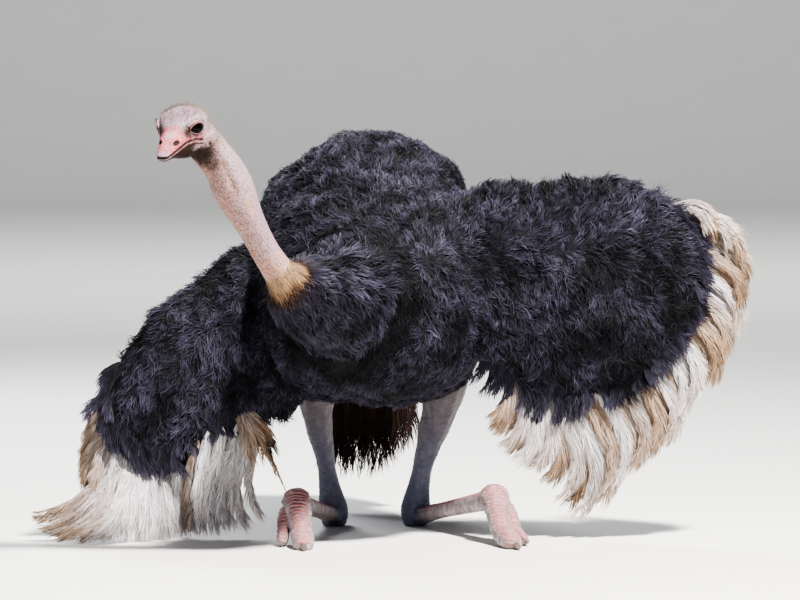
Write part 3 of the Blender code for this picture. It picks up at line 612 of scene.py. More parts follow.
def lid_rims():
    """The lids' thick edges, a ring round each eye."""
    turn = np.linspace(0, 2 * math.pi, RIM_STEPS, endpoint=False)
    around = np.linspace(0, 2 * math.pi, RIM_SIDES, endpoint=False)
    angle = np.radians(opening_angle(turn) + 1.5)
    thick = (0.0015 + 0.0012 * ease(np.sin(turn), -0.1, 0.6))[:, None]
    index = np.arange(RIM_STEPS * RIM_SIDES).reshape(RIM_STEPS, RIM_SIDES)
    after = np.roll(index, -1, axis=0)
    quads = np.stack([index, np.roll(index, -1, 1), np.roll(after, -1, 1), after], axis=-1).reshape(-1, 4)
    upper = np.repeat(ease(np.sin(turn), -0.1, 0.3), RIM_SIDES)
    marks = np.stack([0.25 + 0.1 * upper, 0.55 * (1 - upper), upper * 0.85, 0 * upper], axis=1)
    pieces = []
    for side in SIDES.values():
        centre, facing, front, up = eye_axes(side)
        round_eye = front * np.cos(turn)[:, None] + up * np.sin(turn)[:, None]
        outward = facing * np.cos(angle)[:, None] + round_eye * np.sin(angle)[:, None]
        line = centre + outward * (LID_RADIUS - 0.0006)
        ahead = unit(np.roll(line, -1, axis=0) - np.roll(line, 1, axis=0))
        sideways = np.cross(ahead, outward)
        rings = [line + thick * (outward * math.cos(a) + sideways * math.sin(a)) for a in around]
        pieces.append((from_head(np.stack(rings, axis=1).reshape(-1, 3)), quads))
    return pieces, np.concatenate([marks, marks])


def lid_distance(local):
    """Degrees past the edge of the nearer eye's opening; large away from the eyes."""
    nearest = np.full(len(local), 90.0)
    for side in SIDES.values():
        _, far, _, past = seen_from_eye(local, side)
        nearest = np.where(far < 0.045, np.minimum(nearest, past), nearest)
    return nearest


def mouth_height(forward):
    return np.interp(forward, *zip(*MOUTH_LINE))


def blob(local, place, size, sharpness=2.0):
    """A soft spot, 1 at a place of the head, on both sides."""
    mirrored = np.stack([local[:, 0], np.abs(local[:, 1]), local[:, 2]], axis=1)
    far = np.linalg.norm((mirrored - np.array(place)) / np.array(size), axis=1)
    return np.exp(-far ** sharpness)


def head_marks(points):
    """The head's and neck's markings as masks: red, dark, pale and buff; the dark one also paints shade in
    the fold above each eye.
    """
    local = to_head(points)
    forward, _, up = local.T
    on_head = ease(forward, -0.07, -0.03) * ease(up, -0.12, -0.08)
    fine, grain, coarse = (wobble(local, size, seed) for size, seed in ((0.0055, 2), (0.012, 3), (0.030, 4)))
    above_mouth = up - mouth_height(forward) + 0.0007 * grain
    lips = ease(forward, -0.010, 0.002)
    below = ease(-above_mouth, 0.0, 0.0015)
    cream = blob(local, (0.066, 0.006, 0.004), (0.020, 0.013, 0.012), 3)
    cream = np.maximum(cream, 0.7 * blob(local, (0.098, 0.004, -0.012), (0.016, 0.008, 0.010)))
    bill = band(forward, 0.034, 0.052, 0.108, 0.122) * (1 - below)
    under_eye = band(forward, -0.014, 0.002, 0.045, 0.060) * ease(above_mouth, 0.0015, 0.004)
    under_eye *= 1 - ease(up, -0.013, -0.004)
    lip = bump(above_mouth, -0.0058, 0.0023) * lips * (1 - ease(forward, 0.085, 0.11))
    red = np.max([bill * (0.95 - 0.75 * cream), under_eye * (0.72 + 0.35 * fine + 0.15 * grain), 0.85 * lip,
                  0.30 * blob(local, (-0.002, 0.056, -0.016), (0.020, 0.03, 0.010))], axis=0)
    red = np.clip(red * (0.88 + 0.16 * fine + 0.10 * grain), 0, 1) * on_head
    bulge_pale = blob(local, (0.006, 0.050, -0.043), (0.022, 0.03, 0.0095))
    pale = 0.85 * cream + 0.85 * bulge_pale
    pale += 0.6 * blob(local, (0.000, 0.052, 0.018), (0.020, 0.03, 0.004))
    pale += 0.15 * ease(forward, 0.108, 0.120)
    past = lid_distance(local)
    upper_lid = ease(up, 0.002, 0.010) * (1 - ease(past, 13, 20)) * (past > 0)
    red = np.maximum(red, 0.30 * upper_lid)
    pale = np.maximum(pale, 0.55 * upper_lid)
    jaw_line = bump(above_mouth, -0.0110, 0.0022) * lips * (1 - ease(forward, 0.055, 0.080))
    lower_bill = below * ease(-above_mouth, 0.003, 0.0065) * ease(forward, 0.004, 0.030)
    under_lid = ease(-up, -0.004, 0.004) * (1 - ease(past, 9, 17)) * (past > 1)
    ear = blob(local, (-0.014, 0.060, -0.050), (0.026, 0.03, 0.018))
    throat = ease(-up, 0.044, 0.060) * ease(forward, -0.034, -0.004) * (1 - ease(forward, 0.075, 0.100))
    throat *= 1 - ease(-up - 0.4 * forward, 0.095, 0.125)
    crown = ease(up, 0.018, 0.040) * on_head
    dark = np.max([
        (1 - ease(np.abs(above_mouth), 0.0016, 0.0040)) * lips,
        0.92 * jaw_line,
        0.97 * lower_bill * (1 - 0.35 * ease(forward, 0.100, 0.118)) * (1 - bulge_pale) * (1 - 0.65 * lip),
        (0.84 + 0.12 * grain) * blob(local, (0.034, 0.038, 0.001), (0.0190, 0.023, 0.0140), 3),
        (0.58 + 0.2 * grain) * under_lid,
        (0.60 + 0.2 * grain) * blob(local, (0.024, 0.052, -0.0135), (0.012, 0.02, 0.0035)),
        # painted shade in the fold above the upper lid
        bump(past, 21, 3.5) * ease(up, -0.008, 0.006) * 0.45,
        ear * (0.52 + 0.16 * grain),
        throat * (0.80 + 0.10 * coarse) * (1 - 0.8 * bulge_pale),
        0.13 * crown * np.clip(0.4 + 0.7 * grain, 0, 1)], axis=0)
    buff = 0.50 * blob(local, (-0.040, 0.050, -0.060), (0.035, 0.04, 0.030))
    buff += 0.25 * ear + 0.12 * crown * np.clip(coarse, 0, 1)
    dark *= ease(forward, -0.09, -0.05)
    return np.clip(np.stack([red, dark, pale * on_head, buff], axis=1), 0, 1)


def streak(points, start, end, width):
    """1 along a line seen from the front, given as across and up from the head's centre."""
    here = points[:, [0, 2]] - HEAD_CENTRE[[0, 2]]
    start, run = np.array(start), np.array(end) - np.array(start)
    share = np.clip((here - start) @ run / (run @ run), 0, 1)
    return bump(np.linalg.norm(here - start - share[:, None] * run, axis=1), 0, width)


def neck_marks(points):
    """Buff and brown speckle down the throat side of the neck, and buff towards the collar. That side is
    painted darker and redder: painted shade, with the neck's own buff.
    """
    down = ease(-to_head(points)[:, 2], 0.06, 0.11)
    drop = HEAD_CENTRE[2] - points[:, 2]
    middle = HEAD_CENTRE[0] + np.interp(drop, [0.05, 0.12, 0.20, 0.30, 0.38],
                                        [0.070, 0.112, 0.150, 0.198, 0.252])
    # The neck's side away from the key light, painted darker and redder below as painted shade.
    shaded = ease(middle - points[:, 0], -0.030, 0.040)
    speckle = np.clip(0.5 + 0.55 * wobble(points, 0.0075, 8) + 0.25 * wobble(points, 0.030, 9), 0, 1)
    patches = np.clip(0.5 + 0.5 * wobble(points, 0.050, 10), 0, 1)
    near_collar = 1 - ease(distance(points, COLLAR), 0.035, 0.110)
    # Dark and buff along the groove down the neck: the dark is painted shade in the groove, the buff the
    # neck's own.
    groove_buff_and_shade = streak(points, *TENDON, 0.0065) * (0.75 + 0.4 * speckle)
    scar = streak(points, (0.160, -0.176), (0.172, -0.215), 0.007)
    dark = down * np.clip((0.04 + 0.24 * shaded) * speckle + 0.34 * groove_buff_and_shade, 0, 1)
    red = down * (0.06 + 0.16 * shaded) * patches
    buff = down * np.clip(0.10 + 0.70 * shaded * (0.35 + 0.65 * speckle) + 0.45 * groove_buff_and_shade + 0.8 * scar
                          + 0.6 * near_collar, 0, 1)
    pale = down * (0.3 * near_collar + 0.4 * scar)
    # Past the collar the neck is painted dark: painted shade where it runs in under the plumage.
    foot = unit(np.array(NECK_PATH[-2][:3]) - np.array(NECK_PATH[-4][:3]))
    dark = np.maximum(dark, ease((points - COLLAR) @ foot, -0.006, 0.012))
    return np.stack([red, dark, pale, buff], axis=1)


def build_bare_head_and_neck():
    points, quads = remeshed([head_blank(), neck_blank()], HEAD_VOXEL)
    nape = ease(-to_head(points)[:, 0], 0.000, 0.030)
    points = relax(points, quads, 3)
    points = relax(points, quads, 26, nape)
    normals = vertex_normals(points, quads)
    for place, radius, amount in EYE_FORMS:
        points = bulge(points, normals, place, radius, amount)
    local = to_head(points)
    above_mouth = local[:, 2] - mouth_height(local[:, 0])
    on_lips = ease(local[:, 0], -0.008, 0.006)
    lid_fold = bump(lid_distance(local), 21, 4) * ease(local[:, 2], -0.004, 0.010)
    jaw_groove = bump(above_mouth, -0.012, 0.0022)
    groove = bump(above_mouth, 0, 0.0024) + 0.25 * jaw_groove * (1 - ease(local[:, 0], 0.06, 0.09))
    points = pushed(points, normals, -0.0014 * lid_fold)
    points = pushed(points, normals, -0.0028 * groove * on_lips)
    points = shape_eyes(points)
    nostril = to_head(points)
    nostril[:, 1] = np.abs(nostril[:, 1])
    far = np.linalg.norm((nostril - np.array(NOSTRIL)) / np.array(NOSTRIL_SIZE), axis=1)
    marks = np.maximum(head_marks(points), neck_marks(points))
    marks[:, 1] = np.maximum(marks[:, 1], 1 - ease(far, 0.72, 1.15))
    points = pushed(points, normals, -0.0045 * (1 - ease(far, 0.4, 1.1)))
    points = pushed(points, normals, 0.0010 * bump(far, 1.35, 0.3))
    hollow = streak(points, *TENDON, 0.009) * ease(-normals[:, 1], 0.0, 0.4)
    points = pushed(points, normals, -0.0030 * hollow * ease(-to_head(points)[:, 2], 0.06, 0.10))
    rims, rim_marks = lid_rims()
    for rim_points, rim_quads in rims:
        quads = np.concatenate([quads, rim_quads + len(points)])
        points = np.concatenate([points, rim_points])
    return points, quads, np.concatenate([marks, rim_marks])


# ---------------------------------------------------------------- legs
LEG_PARTS = ("shank", "tarsus", "toe_main", "toe_outer")
LEG_VOXEL = 0.0031
SCUTE_ON_TOE = 0.0150  # spacing of the cross scales, measured forward and down
SCUTE_ON_TARSUS = 0.0095


def build_leg_skin(side):
    points, quads = remeshed([node_arrays(f"{part}_{side}") for part in LEG_PARTS], LEG_VOXEL)
    points = relax(points, quads, 9)
    normals = vertex_normals(points, quads)
    hock = box_middle(f"shank_{side}")
    hock.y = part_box(f"tarsus_{side}")[1].y
    hock.z = 0.04
    joint = inside(f"toe_main_{side}", 0.4, 0.85, 0.75)
    toes = 1 - ease(points[:, 1], joint[1] - 0.015, joint[1] + 0.035)
    tarsus = ease(hock.y - points[:, 1], 0.05, 0.09) * (1 - toes) * (1 - ease(points[:, 2], 0.13, 0.16))
    top = ease(0.75 * normals[:, 2] - 0.55 * normals[:, 1] - 0.25 * np.abs(normals[:, 0]), 0.25, 0.55)
    lengthwise = np.where(toes > 0.5, (-points[:, 1] - points[:, 2]) / SCUTE_ON_TOE,
                          -points[:, 1] / SCUTE_ON_TARSUS)
    lengthwise += 0.10 * wobble(points, 0.03, 23)
    scales = np.clip(toes * top + tarsus * ease(normals[:, 2], 0.35, 0.7), 0, 1)
    groove = np.abs(np.sin(math.pi * lengthwise)) ** 0.6
    folds = wobble(points * (0.7, 0.7, 2.4), 0.014, 21) * bump(distance(points, hock), 0, 0.10)
    folds += (1.3 * wobble(points * (1.6, 1, 1), 0.016, 24) * bump(distance(points, joint), 0, 0.055)
              * (1 - scales))
    pads = toes * (1 - scales) * np.abs(wobble(points, 0.012, 25))
    tendons = ease(points[:, 2], 0.12, 0.2) * (
        wobble(points * (1, 1, 0.12), 0.035, 26) + 0.4 * wobble(points * (0.4, 0.4, 3.0), 0.03, 27))
    swell = 0.0012 * folds + 0.0014 * (groove - 0.5) * scales + 0.0016 * pads + 0.0012 * tendons + 0.0006
    points = pushed(points, normals, swell)
    points[:, 2] = np.maximum(points[:, 2], 0.0)
    blue = np.clip(1.15 - ease(points[:, 2], 0.05, 0.36) - 0.8 * toes - 0.8 * tarsus, 0, 1)
    pale = np.clip(toes + tarsus * 0.9, 0, 1)
    # Brown in patches on the toes' and tarsi's sides and undersides, off the scales.
    side_brown = np.clip(0.55 * (1 - scales) * pale * np.clip(0.4 + 0.5 * wobble(points, 0.04, 28), 0, 1), 0, 1)
    return points, quads, np.stack([scales, blue, pale, side_brown], axis=1), lengthwise


# ---------------------------------------------------------------- the body under the plumage
COAT_DEPTH = 0.010
BODY_VOXEL = 0.013
BODY_NODES = ["trunk", "neck_root", "wing_left", "wing_right"]
RAY_START = 0.004  # how far under the skin its thickness is measured from


def search_tree(points, faces):
    return BVHTree.FromPolygons([Vector(p) for p in points], [tuple(face) for face in faces])


def build_body():
    """The body's skin, inside the solids by the coat's depth."""
    points, quads = remeshed([node_arrays(name) for name in BODY_NODES], BODY_VOXEL)
    points = relax(points, quads, 8)
    normals = vertex_normals(points, quads)
    tree = search_tree(points, quads.tolist())
    thickness = np.full(len(points), 0.2)
    for i, (point, normal) in enumerate(zip(points, normals)):
        hit = tree.ray_cast(Vector(point - normal * RAY_START), Vector(-normal))
        if hit[0] is not None:
            thickness[i] = hit[3] + RAY_START
    swell = 0.006 * wobble(points, 0.16, 31) + 0.003 * wobble(points, 0.07, 32)
    points = pushed(points, normals, -np.minimum(COAT_DEPTH, thickness * 0.3))
    points = pushed(points, normals, swell * ease(thickness, 0.03, 0.10))
    return relax(points, quads, 2), quads


# ---------------------------------------------------------------- ribbons: every barb and hair
PATCH_SIZE = 0.0028  # of each ribbon's patch on the map OFBake


def ribbon_faces(count, segments):
    rows = []
    for a in range(0, 2 * segments - 2, 2):
        rows += [(a, a + 1, a + 3), (a, a + 3, a + 2)]
    rows.append((2 * segments - 2, 2 * segments - 1, 2 * segments))
    firsts = np.arange(count) * (2 * segments + 1)
    return (np.array(rows) + firsts[:, None, None]).reshape(-1, 3)


def ribbon_points(line, across, width, blunt=0.35):
    """Tapered ribbons along centre lines (n, segments + 1, 3); across (n, 3) or (n, segments + 1, 3)."""
    count, rings, _ = line.shape
    share = np.linspace(0, 1, rings)
    taper = (1 - share ** 2) ** 0.5 * (1 - blunt * share) * (0.55 + 0.45 * np.minimum(share * 4, 1))
    half = 0.5 * width[:, None, None] * taper[None, :, None]
    if across.ndim == 2:
        across = across[:, None]
    pair = np.stack([line - across * half, line + across * half], axis=2)[:, :-1]
    return np.concatenate([pair.reshape(count, -1, 3), line[:, -1:]], axis=1)


def along_ribbon(segments):
    share = np.linspace(0, 1, segments + 1)
    return np.concatenate([np.repeat(share[:-1], 2), [1.0]])


def lie_down(roots, ways, normals, length, lift, sink, curl, segments):
    """Centre lines of barbs that leave the skin at a slant and bend back along it."""
    side = unit(np.cross(ways, normals))
    t = np.linspace(0, 1, segments + 1)[None, :, None]
    reach, lift, sink, curl = (v[:, None, None] for v in (length, lift, sink, curl))
    return (roots[:, None] + ways[:, None] * reach * t + normals[:, None] * reach * (lift * t - sink * t * t)
            + side[:, None] * reach * curl * t * t)


def coat_object(name, points, tones, tints, root_places, material, segments):
    """One mesh of ribbons with its shading rows and the patch map OFBake. Tints are one or a row each."""
    count, each, _ = points.shape
    mesh = fast_mesh(name, points.reshape(-1, 3), ribbon_faces(count, segments))
    share = along_ribbon(segments)
    rows = [np.broadcast_to(v, (count, each)) for v in (share, tones[:, None], tints.reshape(count, -1))]
    set_colour(mesh, "coat", np.clip(np.stack(rows, axis=-1).reshape(-1, 3), 0, 1))
    patch = np.empty((count, each, 2), np.float32)
    patch[..., 0] = root_places[:, :1] + (tones[:, None] - 0.5) * PATCH_SIZE
    patch[..., 1] = root_places[:, 1:] + (share[None] - 0.5) * PATCH_SIZE
    corners = np.empty(len(mesh.loops), np.int32)
    mesh.loops.foreach_get("vertex_index", corners)
    mesh.uv_layers.new(name="OFBake").data.foreach_set("uv", patch.reshape(-1, 2)[corners].ravel())
    obj = add_object(name, mesh, material)
    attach(obj, "root")
    return obj


# ---------------------------------------------------------------- black plumage
BARBS_PER_TUFT = 7
TUFT_TOTAL = 24400
TUFT_GATHER = 0.45  # how far a tuft's barbs draw together at their tips
LOCK_TOTAL = 13000  # tufts draw together into this many locks
LOCK_GATHER = 0.50
PIECE_BARBS = 38000  # the most barbs in one piece; each has five triangles


def lie_of_feathers(points, normals, weights):
    """The way the feathers lie at points of the body, along the skin."""
    trunk, neck, left, right = weights.T[:, :, None]
    trunk_way = unit(unit(points - BREAST) + np.array([0.0, 0.45, -0.10]))
    neck_way = unit(unit(points - COLLAR) + np.array([0.15, 0.1, -0.25]))
    arm = LEFT_FAN - BREAST
    share = np.clip(((points - BREAST) @ arm) / (arm @ arm), 0, 1)[:, None]
    from_arm = points - (BREAST + arm * share)
    far = np.linalg.norm(from_arm, axis=1, keepdims=True)
    left_way = unit(unit(from_arm) * (0.35 + 3.2 * far) + unit(arm) * 0.75 * (1 - share ** 3)
                    + np.array([0, 0, -0.12]))
    right_way = unit(unit(points - RIGHT_SHOULDER) + np.array([-0.05, 0, -0.42]))
    way = trunk_way * trunk + neck_way * neck + left_way * left + right_way * right
    way += 0.22 * np.stack([wobble(points, 0.11, seed) for seed in (41, 42, 43)], axis=1)
    return along_skin(way, normals)


def region_weights(points):
    """How far each point belongs to the trunk, the neck's root and either wing, and which is nearest."""
    trees = [search_tree(*node_arrays(name)) for name in BODY_NODES]
    far = np.array([[tree.find_nearest(Vector(p))[3] for tree in trees] for p in points])
    weights = bump(far - far.min(axis=1, keepdims=True), 0, 0.035)
    return weights / weights.sum(axis=1, keepdims=True), far.argmin(axis=1)


def scatter(points, quads, count, rng):
    """Random places over a surface, even by area, with normals."""
    triangles = np.concatenate([quads[:, [0, 1, 2]], quads[:, [0, 2, 3]]])
    a, b, c = (points[triangles[:, i]] for i in range(3))
    area = np.linalg.norm(np.cross(b - a, c - a), axis=1)
    edges = np.cumsum(area) / area.sum()
    chosen = np.searchsorted(edges, (np.arange(count) + rng.random(count)) / count)
    chosen = np.minimum(chosen, len(triangles) - 1)
    u, v = rng.random((2, count))
    over = u + v > 1
    u, v = np.where(over, 1 - u, u), np.where(over, 1 - v, v)
    places = a[chosen] + (b - a)[chosen] * u[:, None] + (c - a)[chosen] * v[:, None]
    corner_normals = vertex_normals(points, quads)
    na, nb, nc = (corner_normals[triangles[chosen, i]] for i in range(3))
    return places, unit(na * (1 - u - v)[:, None] + nb * u[:, None] + nc * v[:, None])


def unwrap_body(points, normals, region):
    """Places on an unwrap of the body: the trunk and neck rolled out, the wings' two faces side by side."""
    low, high = (np.array(v) for v in SOLID_BOX)
    share = (points - low) / (high - low)
    middle = np.array(box_middle("trunk"))
    around = turn_share(points[:, 2] - middle[2], points[:, 0] - middle[0])
    trunk = np.stack([around, share[:, 1]], axis=1)
    back = (normals[:, 1] > 0) * 0.5
    wing = np.stack([share[:, 0] * 0.5 + back, share[:, 2]], axis=1)
    return np.where((region >= 2)[:, None], wing, trunk) * 0.98 + 0.01


def rim_share(points, wing, side):
    """How near points of a wing are to the rim where its long plumes begin."""
    across, _, up = (points - wing["centre"]).T
    across = across * side
    angle = np.degrees(np.arctan2(-up, across))
    angles, radii = zip(*wing["edge"])
    edge = np.interp(angle, angles, radii)
    inside_fan = band(angle, angles[0] - 6, angles[0] + 4, angles[-1] - 4, angles[-1] + 6)
    return ease(np.hypot(across, up), edge - 0.055, edge - 0.005) * inside_fan


def build_plumage(points, quads):
    rng = np.random.default_rng(5)
    roots, normals = scatter(points, quads, TUFT_TOTAL, rng)
    weights, region = region_weights(roots)
    ways = lie_of_feathers(roots, normals, weights)
    collar_far = distance(roots, COLLAR)
    keep = collar_far > COLLAR_RADIUS * 0.8
    roots, normals, ways, region, collar_far = (v[keep] for v in (roots, normals, ways, region, collar_far))
    count = len(roots)
    side = np.cross(ways, normals)
    lock_roots = scatter(points, quads, LOCK_TOTAL, rng)[0]
    lock_tree = KDTree(LOCK_TOTAL)
    for i, place in enumerate(lock_roots):
        lock_tree.insert(place, i)
    lock_tree.balance()
    lock = np.array([lock_tree.find(place)[1] for place in roots])
    to_lock = lock_roots[lock] - roots
    lock_middle = 1 - ease(np.linalg.norm(to_lock, axis=1), 0.002, 0.016)
    lock_turns = rng.normal(0, 1, (LOCK_TOTAL, 4))[lock]
    # Tufts between the locks are painted darker, painted shade in the gaps; the rest of their tone differs at
    # random.
    tuft_tone = np.clip(
        0.45 + 0.20 * lock_turns[:, 0] + 0.22 * (lock_middle - 0.5) + rng.normal(0, 0.12, count), 0, 1)
    clump = wobble(roots, 0.055, 51)
    rim = np.where(region == 2, rim_share(roots, LEFT_WING, 1), 0) + np.where(
        region == 3, rim_share(roots, RIGHT_WING, -1), 0)
    bulb = weights[keep][:, 1]
    # The bulb's ragged rim: its tufts are longer and stand out, and are painted lighter, a painted highlight
    # on their tips.
    fringe = band(bulb, 0.45, 0.60, 0.80, 0.97) * (region == 1)
    # A ring of the trunk's and wings' tufts round the neck's root lies flatter and is painted darker: painted
    # shade under the bulb.
    bulb_shade_ring = ease(bulb, 0.01, 0.22) * (region != 1)
    tuft_turn = (0.30 * lock_turns[:, 1] + 0.28 * wobble(roots, 0.035, 52)) * (1 - 0.6 * rim)
    tuft_curl = (0.34 * lock_turns[:, 2] + rng.normal(0, 0.08, count)) * (1 - 0.5 * rim)
    tuft_lift = (0.42 + 0.42 * lock_middle + 0.10 * lock_turns[:, 3]) * (1 - 0.45 * rim)
    tuft_length = rng.uniform(0.8, 1.2, count) * (1 + 0.12 * clump) * (
        1 + rim * (0.75 + 0.90 * np.clip(wobble(roots, 0.05, 56), 0, 1))) * np.where(region == 1, 1.25, 1.0)
    tuft_length *= 1 + 0.5 * fringe
    tuft_lift *= 1 + 0.35 * fringe - 0.3 * bulb_shade_ring
    tuft_tone = np.clip(tuft_tone + 0.15 * fringe - 0.40 * bulb_shade_ring, 0, 1)
    pale = (1 - ease(collar_far + 0.008 * wobble(roots, 0.02, 53), 0.040, 0.058)) * (region == 1)
    loose = np.where(region == 1, 0.4, 1.0)  # the neck's root is plush: its tufts hardly gather or curl
    places = unwrap_body(roots, normals, region)

    def spread(values):
        return np.repeat(values, BARBS_PER_TUFT, axis=0)

    total = count * BARBS_PER_TUFT
    offset = rng.normal(0, 0.0058, (total, 2))
    shift = spread(side) * offset[:, :1] + spread(ways) * offset[:, 1:]
    barb_roots = spread(roots) + shift - spread(normals) * 0.002
    turn = spread(tuft_turn * loose) + rng.normal(0, 0.12, total)
    barb_ways = spread(ways) * np.cos(turn)[:, None] + spread(side) * np.sin(turn)[:, None]
    length = rng.uniform(0.018, 0.031, total) * spread(tuft_length)
    lift = spread(tuft_lift) * rng.uniform(0.85, 1.15, total)
    sink = lift * rng.uniform(0.55, 0.85, total)
    curl = spread(tuft_curl * loose) + rng.normal(0, 0.14, total)
    line = lie_down(barb_roots, barb_ways, spread(normals), length, lift, sink, curl, 3)
    share = np.linspace(0, 1, 4)[None, :, None]
    line -= shift[:, None] * TUFT_GATHER * share
    line += spread(to_lock * loose[:, None])[:, None] * LOCK_GATHER * share ** 1.5
    barb_side = np.cross(barb_ways, spread(normals))
    kink = rng.normal(0, 0.0022, total)[:, None, None] * np.sin(share * math.pi * 1.6)
    line += barb_side[:, None] * kink
    twist = rng.normal(0, 0.38, total)
    across = barb_side * np.cos(twist)[:, None] + spread(normals) * np.sin(twist)[:, None]
    ribbons = ribbon_points(line, across, rng.uniform(0.0015, 0.0031, total))
    ribbons[..., 2] = np.maximum(ribbons[..., 2], 0.001)
    tones = np.clip(0.75 * spread(tuft_tone) + 0.25 * rng.random(total), 0, 1)
    swathes = 0.32 * wobble(roots, 0.07, 55) + 0.22 * wobble(roots, 0.19, 57)
    black = 0.40 * np.clip(0.52 + spread(swathes) + rng.normal(0, 0.18, total), 0, 1)
    # painted shade round the bulb
    black *= 1 - 0.8 * spread(bulb_shade_ring)
    tints = np.where(spread(pale) > 0.02, 0.40 + 0.16 * spread(pale), black)
    for number, name in enumerate(("trunk", "neck_root", "left_wing", "right_wing")):
        own = np.flatnonzero(spread(region) == number)
        pieces = max(1, math.ceil(len(own) / PIECE_BARBS))
        for k, part in enumerate(np.array_split(own, pieces)):
            coat_object(f"{name}_feathers_{k + 1}", ribbons[part], tones[part], tints[part],
                        spread(places)[part], BLACK_FEATHER, 3)


# ---------------------------------------------------------------- long plumes
def bezier(start, first, second, end, share):
    rest = 1 - share
    return (start * rest ** 3 + first * 3 * share * rest ** 2 + second * 3 * share ** 2 * rest
            + end * share ** 3)


LOCKS_PER_PLUME = 12


def plume(shaft, facing, half_width, tints, barbs, rng, droop=0.10):
    """One long plume: the shaft is (start, way it leaves, end, way it arrives). Fine barbs sweep from
    both sides towards the tip over a plain web. Returns ribbons of four segments, tones, tints, places."""
    start, leave, end, arrive = (np.array(v, float) for v in shaft)
    facing = np.array(facing, float)
    length = np.linalg.norm(end - start)
    first, second = start + unit(leave) * length * 0.38, end - unit(arrive) * length * 0.40
    share = np.sort(rng.random(barbs))
    spots = bezier(start, first, second, end, share[:, None])
    ahead = unit(bezier(start, first, second, end, (share + 0.02)[:, None]) - spots)
    up = unit(facing - ahead * (ahead @ facing)[:, None])
    hand = rng.choice([0, 1], barbs)
    lock = (share * LOCKS_PER_PLUME).astype(int) * 2 + hand
    lock_turns = rng.normal(0, 1, (2 * LOCKS_PER_PLUME + 2, 3))[lock]
    side = np.cross(ahead, up) * (2 * hand - 1)[:, None]
    reach = half_width * rng.uniform(2.5, 3.1, barbs) * (0.62 + 0.38 * np.sin(share ** 0.8 * math.pi))
    reach *= 1 + 0.08 * lock_turns[:, 0]
    fan = np.clip(rng.uniform(0.02, 1.0, barbs) ** 0.7 + 0.10 * lock_turns[:, 1], 0, 1.1)
    t = np.linspace(0, 1, 5)[None, :, None]
    lateral = (side * (fan * reach)[:, None])[:, None] * (0.66 * t - 0.34 * t * t)
    forward = (ahead * reach[:, None])[:, None] * (0.60 * t + 0.30 * t * t)
    cup = up[:, None] * reach[:, None, None] * (rng.uniform(-0.02, 0.09, barbs)[:, None, None] * t
                                                - (0.04 + 0.26 * fan ** 2)[:, None, None] * t * t)
    fall = np.array([0, 0, -1.0]) * reach[:, None, None] * droop * t * t
    sway = 0.018 * rng.normal(0, 1, barbs) + 0.045 * lock_turns[:, 2]
    wave = side[:, None] * (reach * sway)[:, None, None] * np.sin(t * 4)
    line = spots[:, None] + lateral + forward + cup + fall + wave
    twist = rng.normal(0, 0.25, barbs)
    sheet = unit(np.cross(line[:, -1] - line[:, 0], up))
    across = sheet * np.cos(twist)[:, None] + up * np.sin(twist)[:, None]
    ribbons = ribbon_points(line, across, rng.uniform(0.0014, 0.0026, barbs), 0.15)
    # One side of each plume's barbs is painted darker than the other: painted shade where it lies under its
    # neighbour.
    tones = np.clip(rng.normal(0.5, 0.16, barbs) + 0.10 * lock_turns[:, 0] + 0.22 * (hand - 0.5) * fan, 0, 1)
    tint, tip_tint = tints
    shades = tint + (tip_tint - tint) * ease(share, 0.25, 1.0) + 0.10 * fan ** 3 + rng.normal(0, 0.04, barbs)
    web_share = np.linspace(0.0, 0.97, 5)
    web_spots = bezier(start, first, second, end, web_share[:, None])
    web_ahead = unit(np.gradient(web_spots, axis=0))
    web_up = unit(facing - web_ahead * (web_ahead @ facing)[:, None])
    web_side = np.cross(web_ahead, web_up)
    lanes = np.linspace(-0.66, 0.66, 7)
    body = 0.45 + 0.55 * np.sin(np.clip(web_share * 1.1, 0, 1) * math.pi) ** 0.6
    lines = np.stack([web_spots + web_side * (half_width * lane * body)[:, None]
                      - web_up * (0.004 + 0.35 * half_width * lane ** 2) for lane in lanes])
    web_widths = np.full(len(lanes), half_width * 0.30)
    webs = ribbon_points(lines, np.broadcast_to(web_side, lines.shape), web_widths, 0.0)
    return (np.concatenate([ribbons, webs]), np.concatenate([tones, np.full(len(lanes), 0.30)]),
            np.concatenate([shades, np.full(len(lanes), (tint + tip_tint) / 2)]),
            np.concatenate([spots, np.broadcast_to(web_spots[2], (len(lanes), 3))]))


def plume_object(name, pieces, material, node):
    """Joins plumes into one coat piece over the given solid."""
    ribbons, tones, tints, spots = (np.concatenate(v) for v in zip(*pieces))
    ribbons[..., 2] = np.maximum(ribbons[..., 2], 0.0008)
    low, high = (np.array(v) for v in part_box(node))
    share = np.clip((spots - low) / (high - low), 0, 1)
    return coat_object(name, ribbons, tones, tints, share[:, [0, 2]] * 0.98 + 0.01, material, 4)


def rows_between(table, offset):
    """Rows of a table moved on by a share of a row, each with its place."""
    order = np.arange(len(table))
    for i in order + offset:
        if i <= len(table) - 1:
            yield i, [np.interp(i, order, column) for column in table.T]


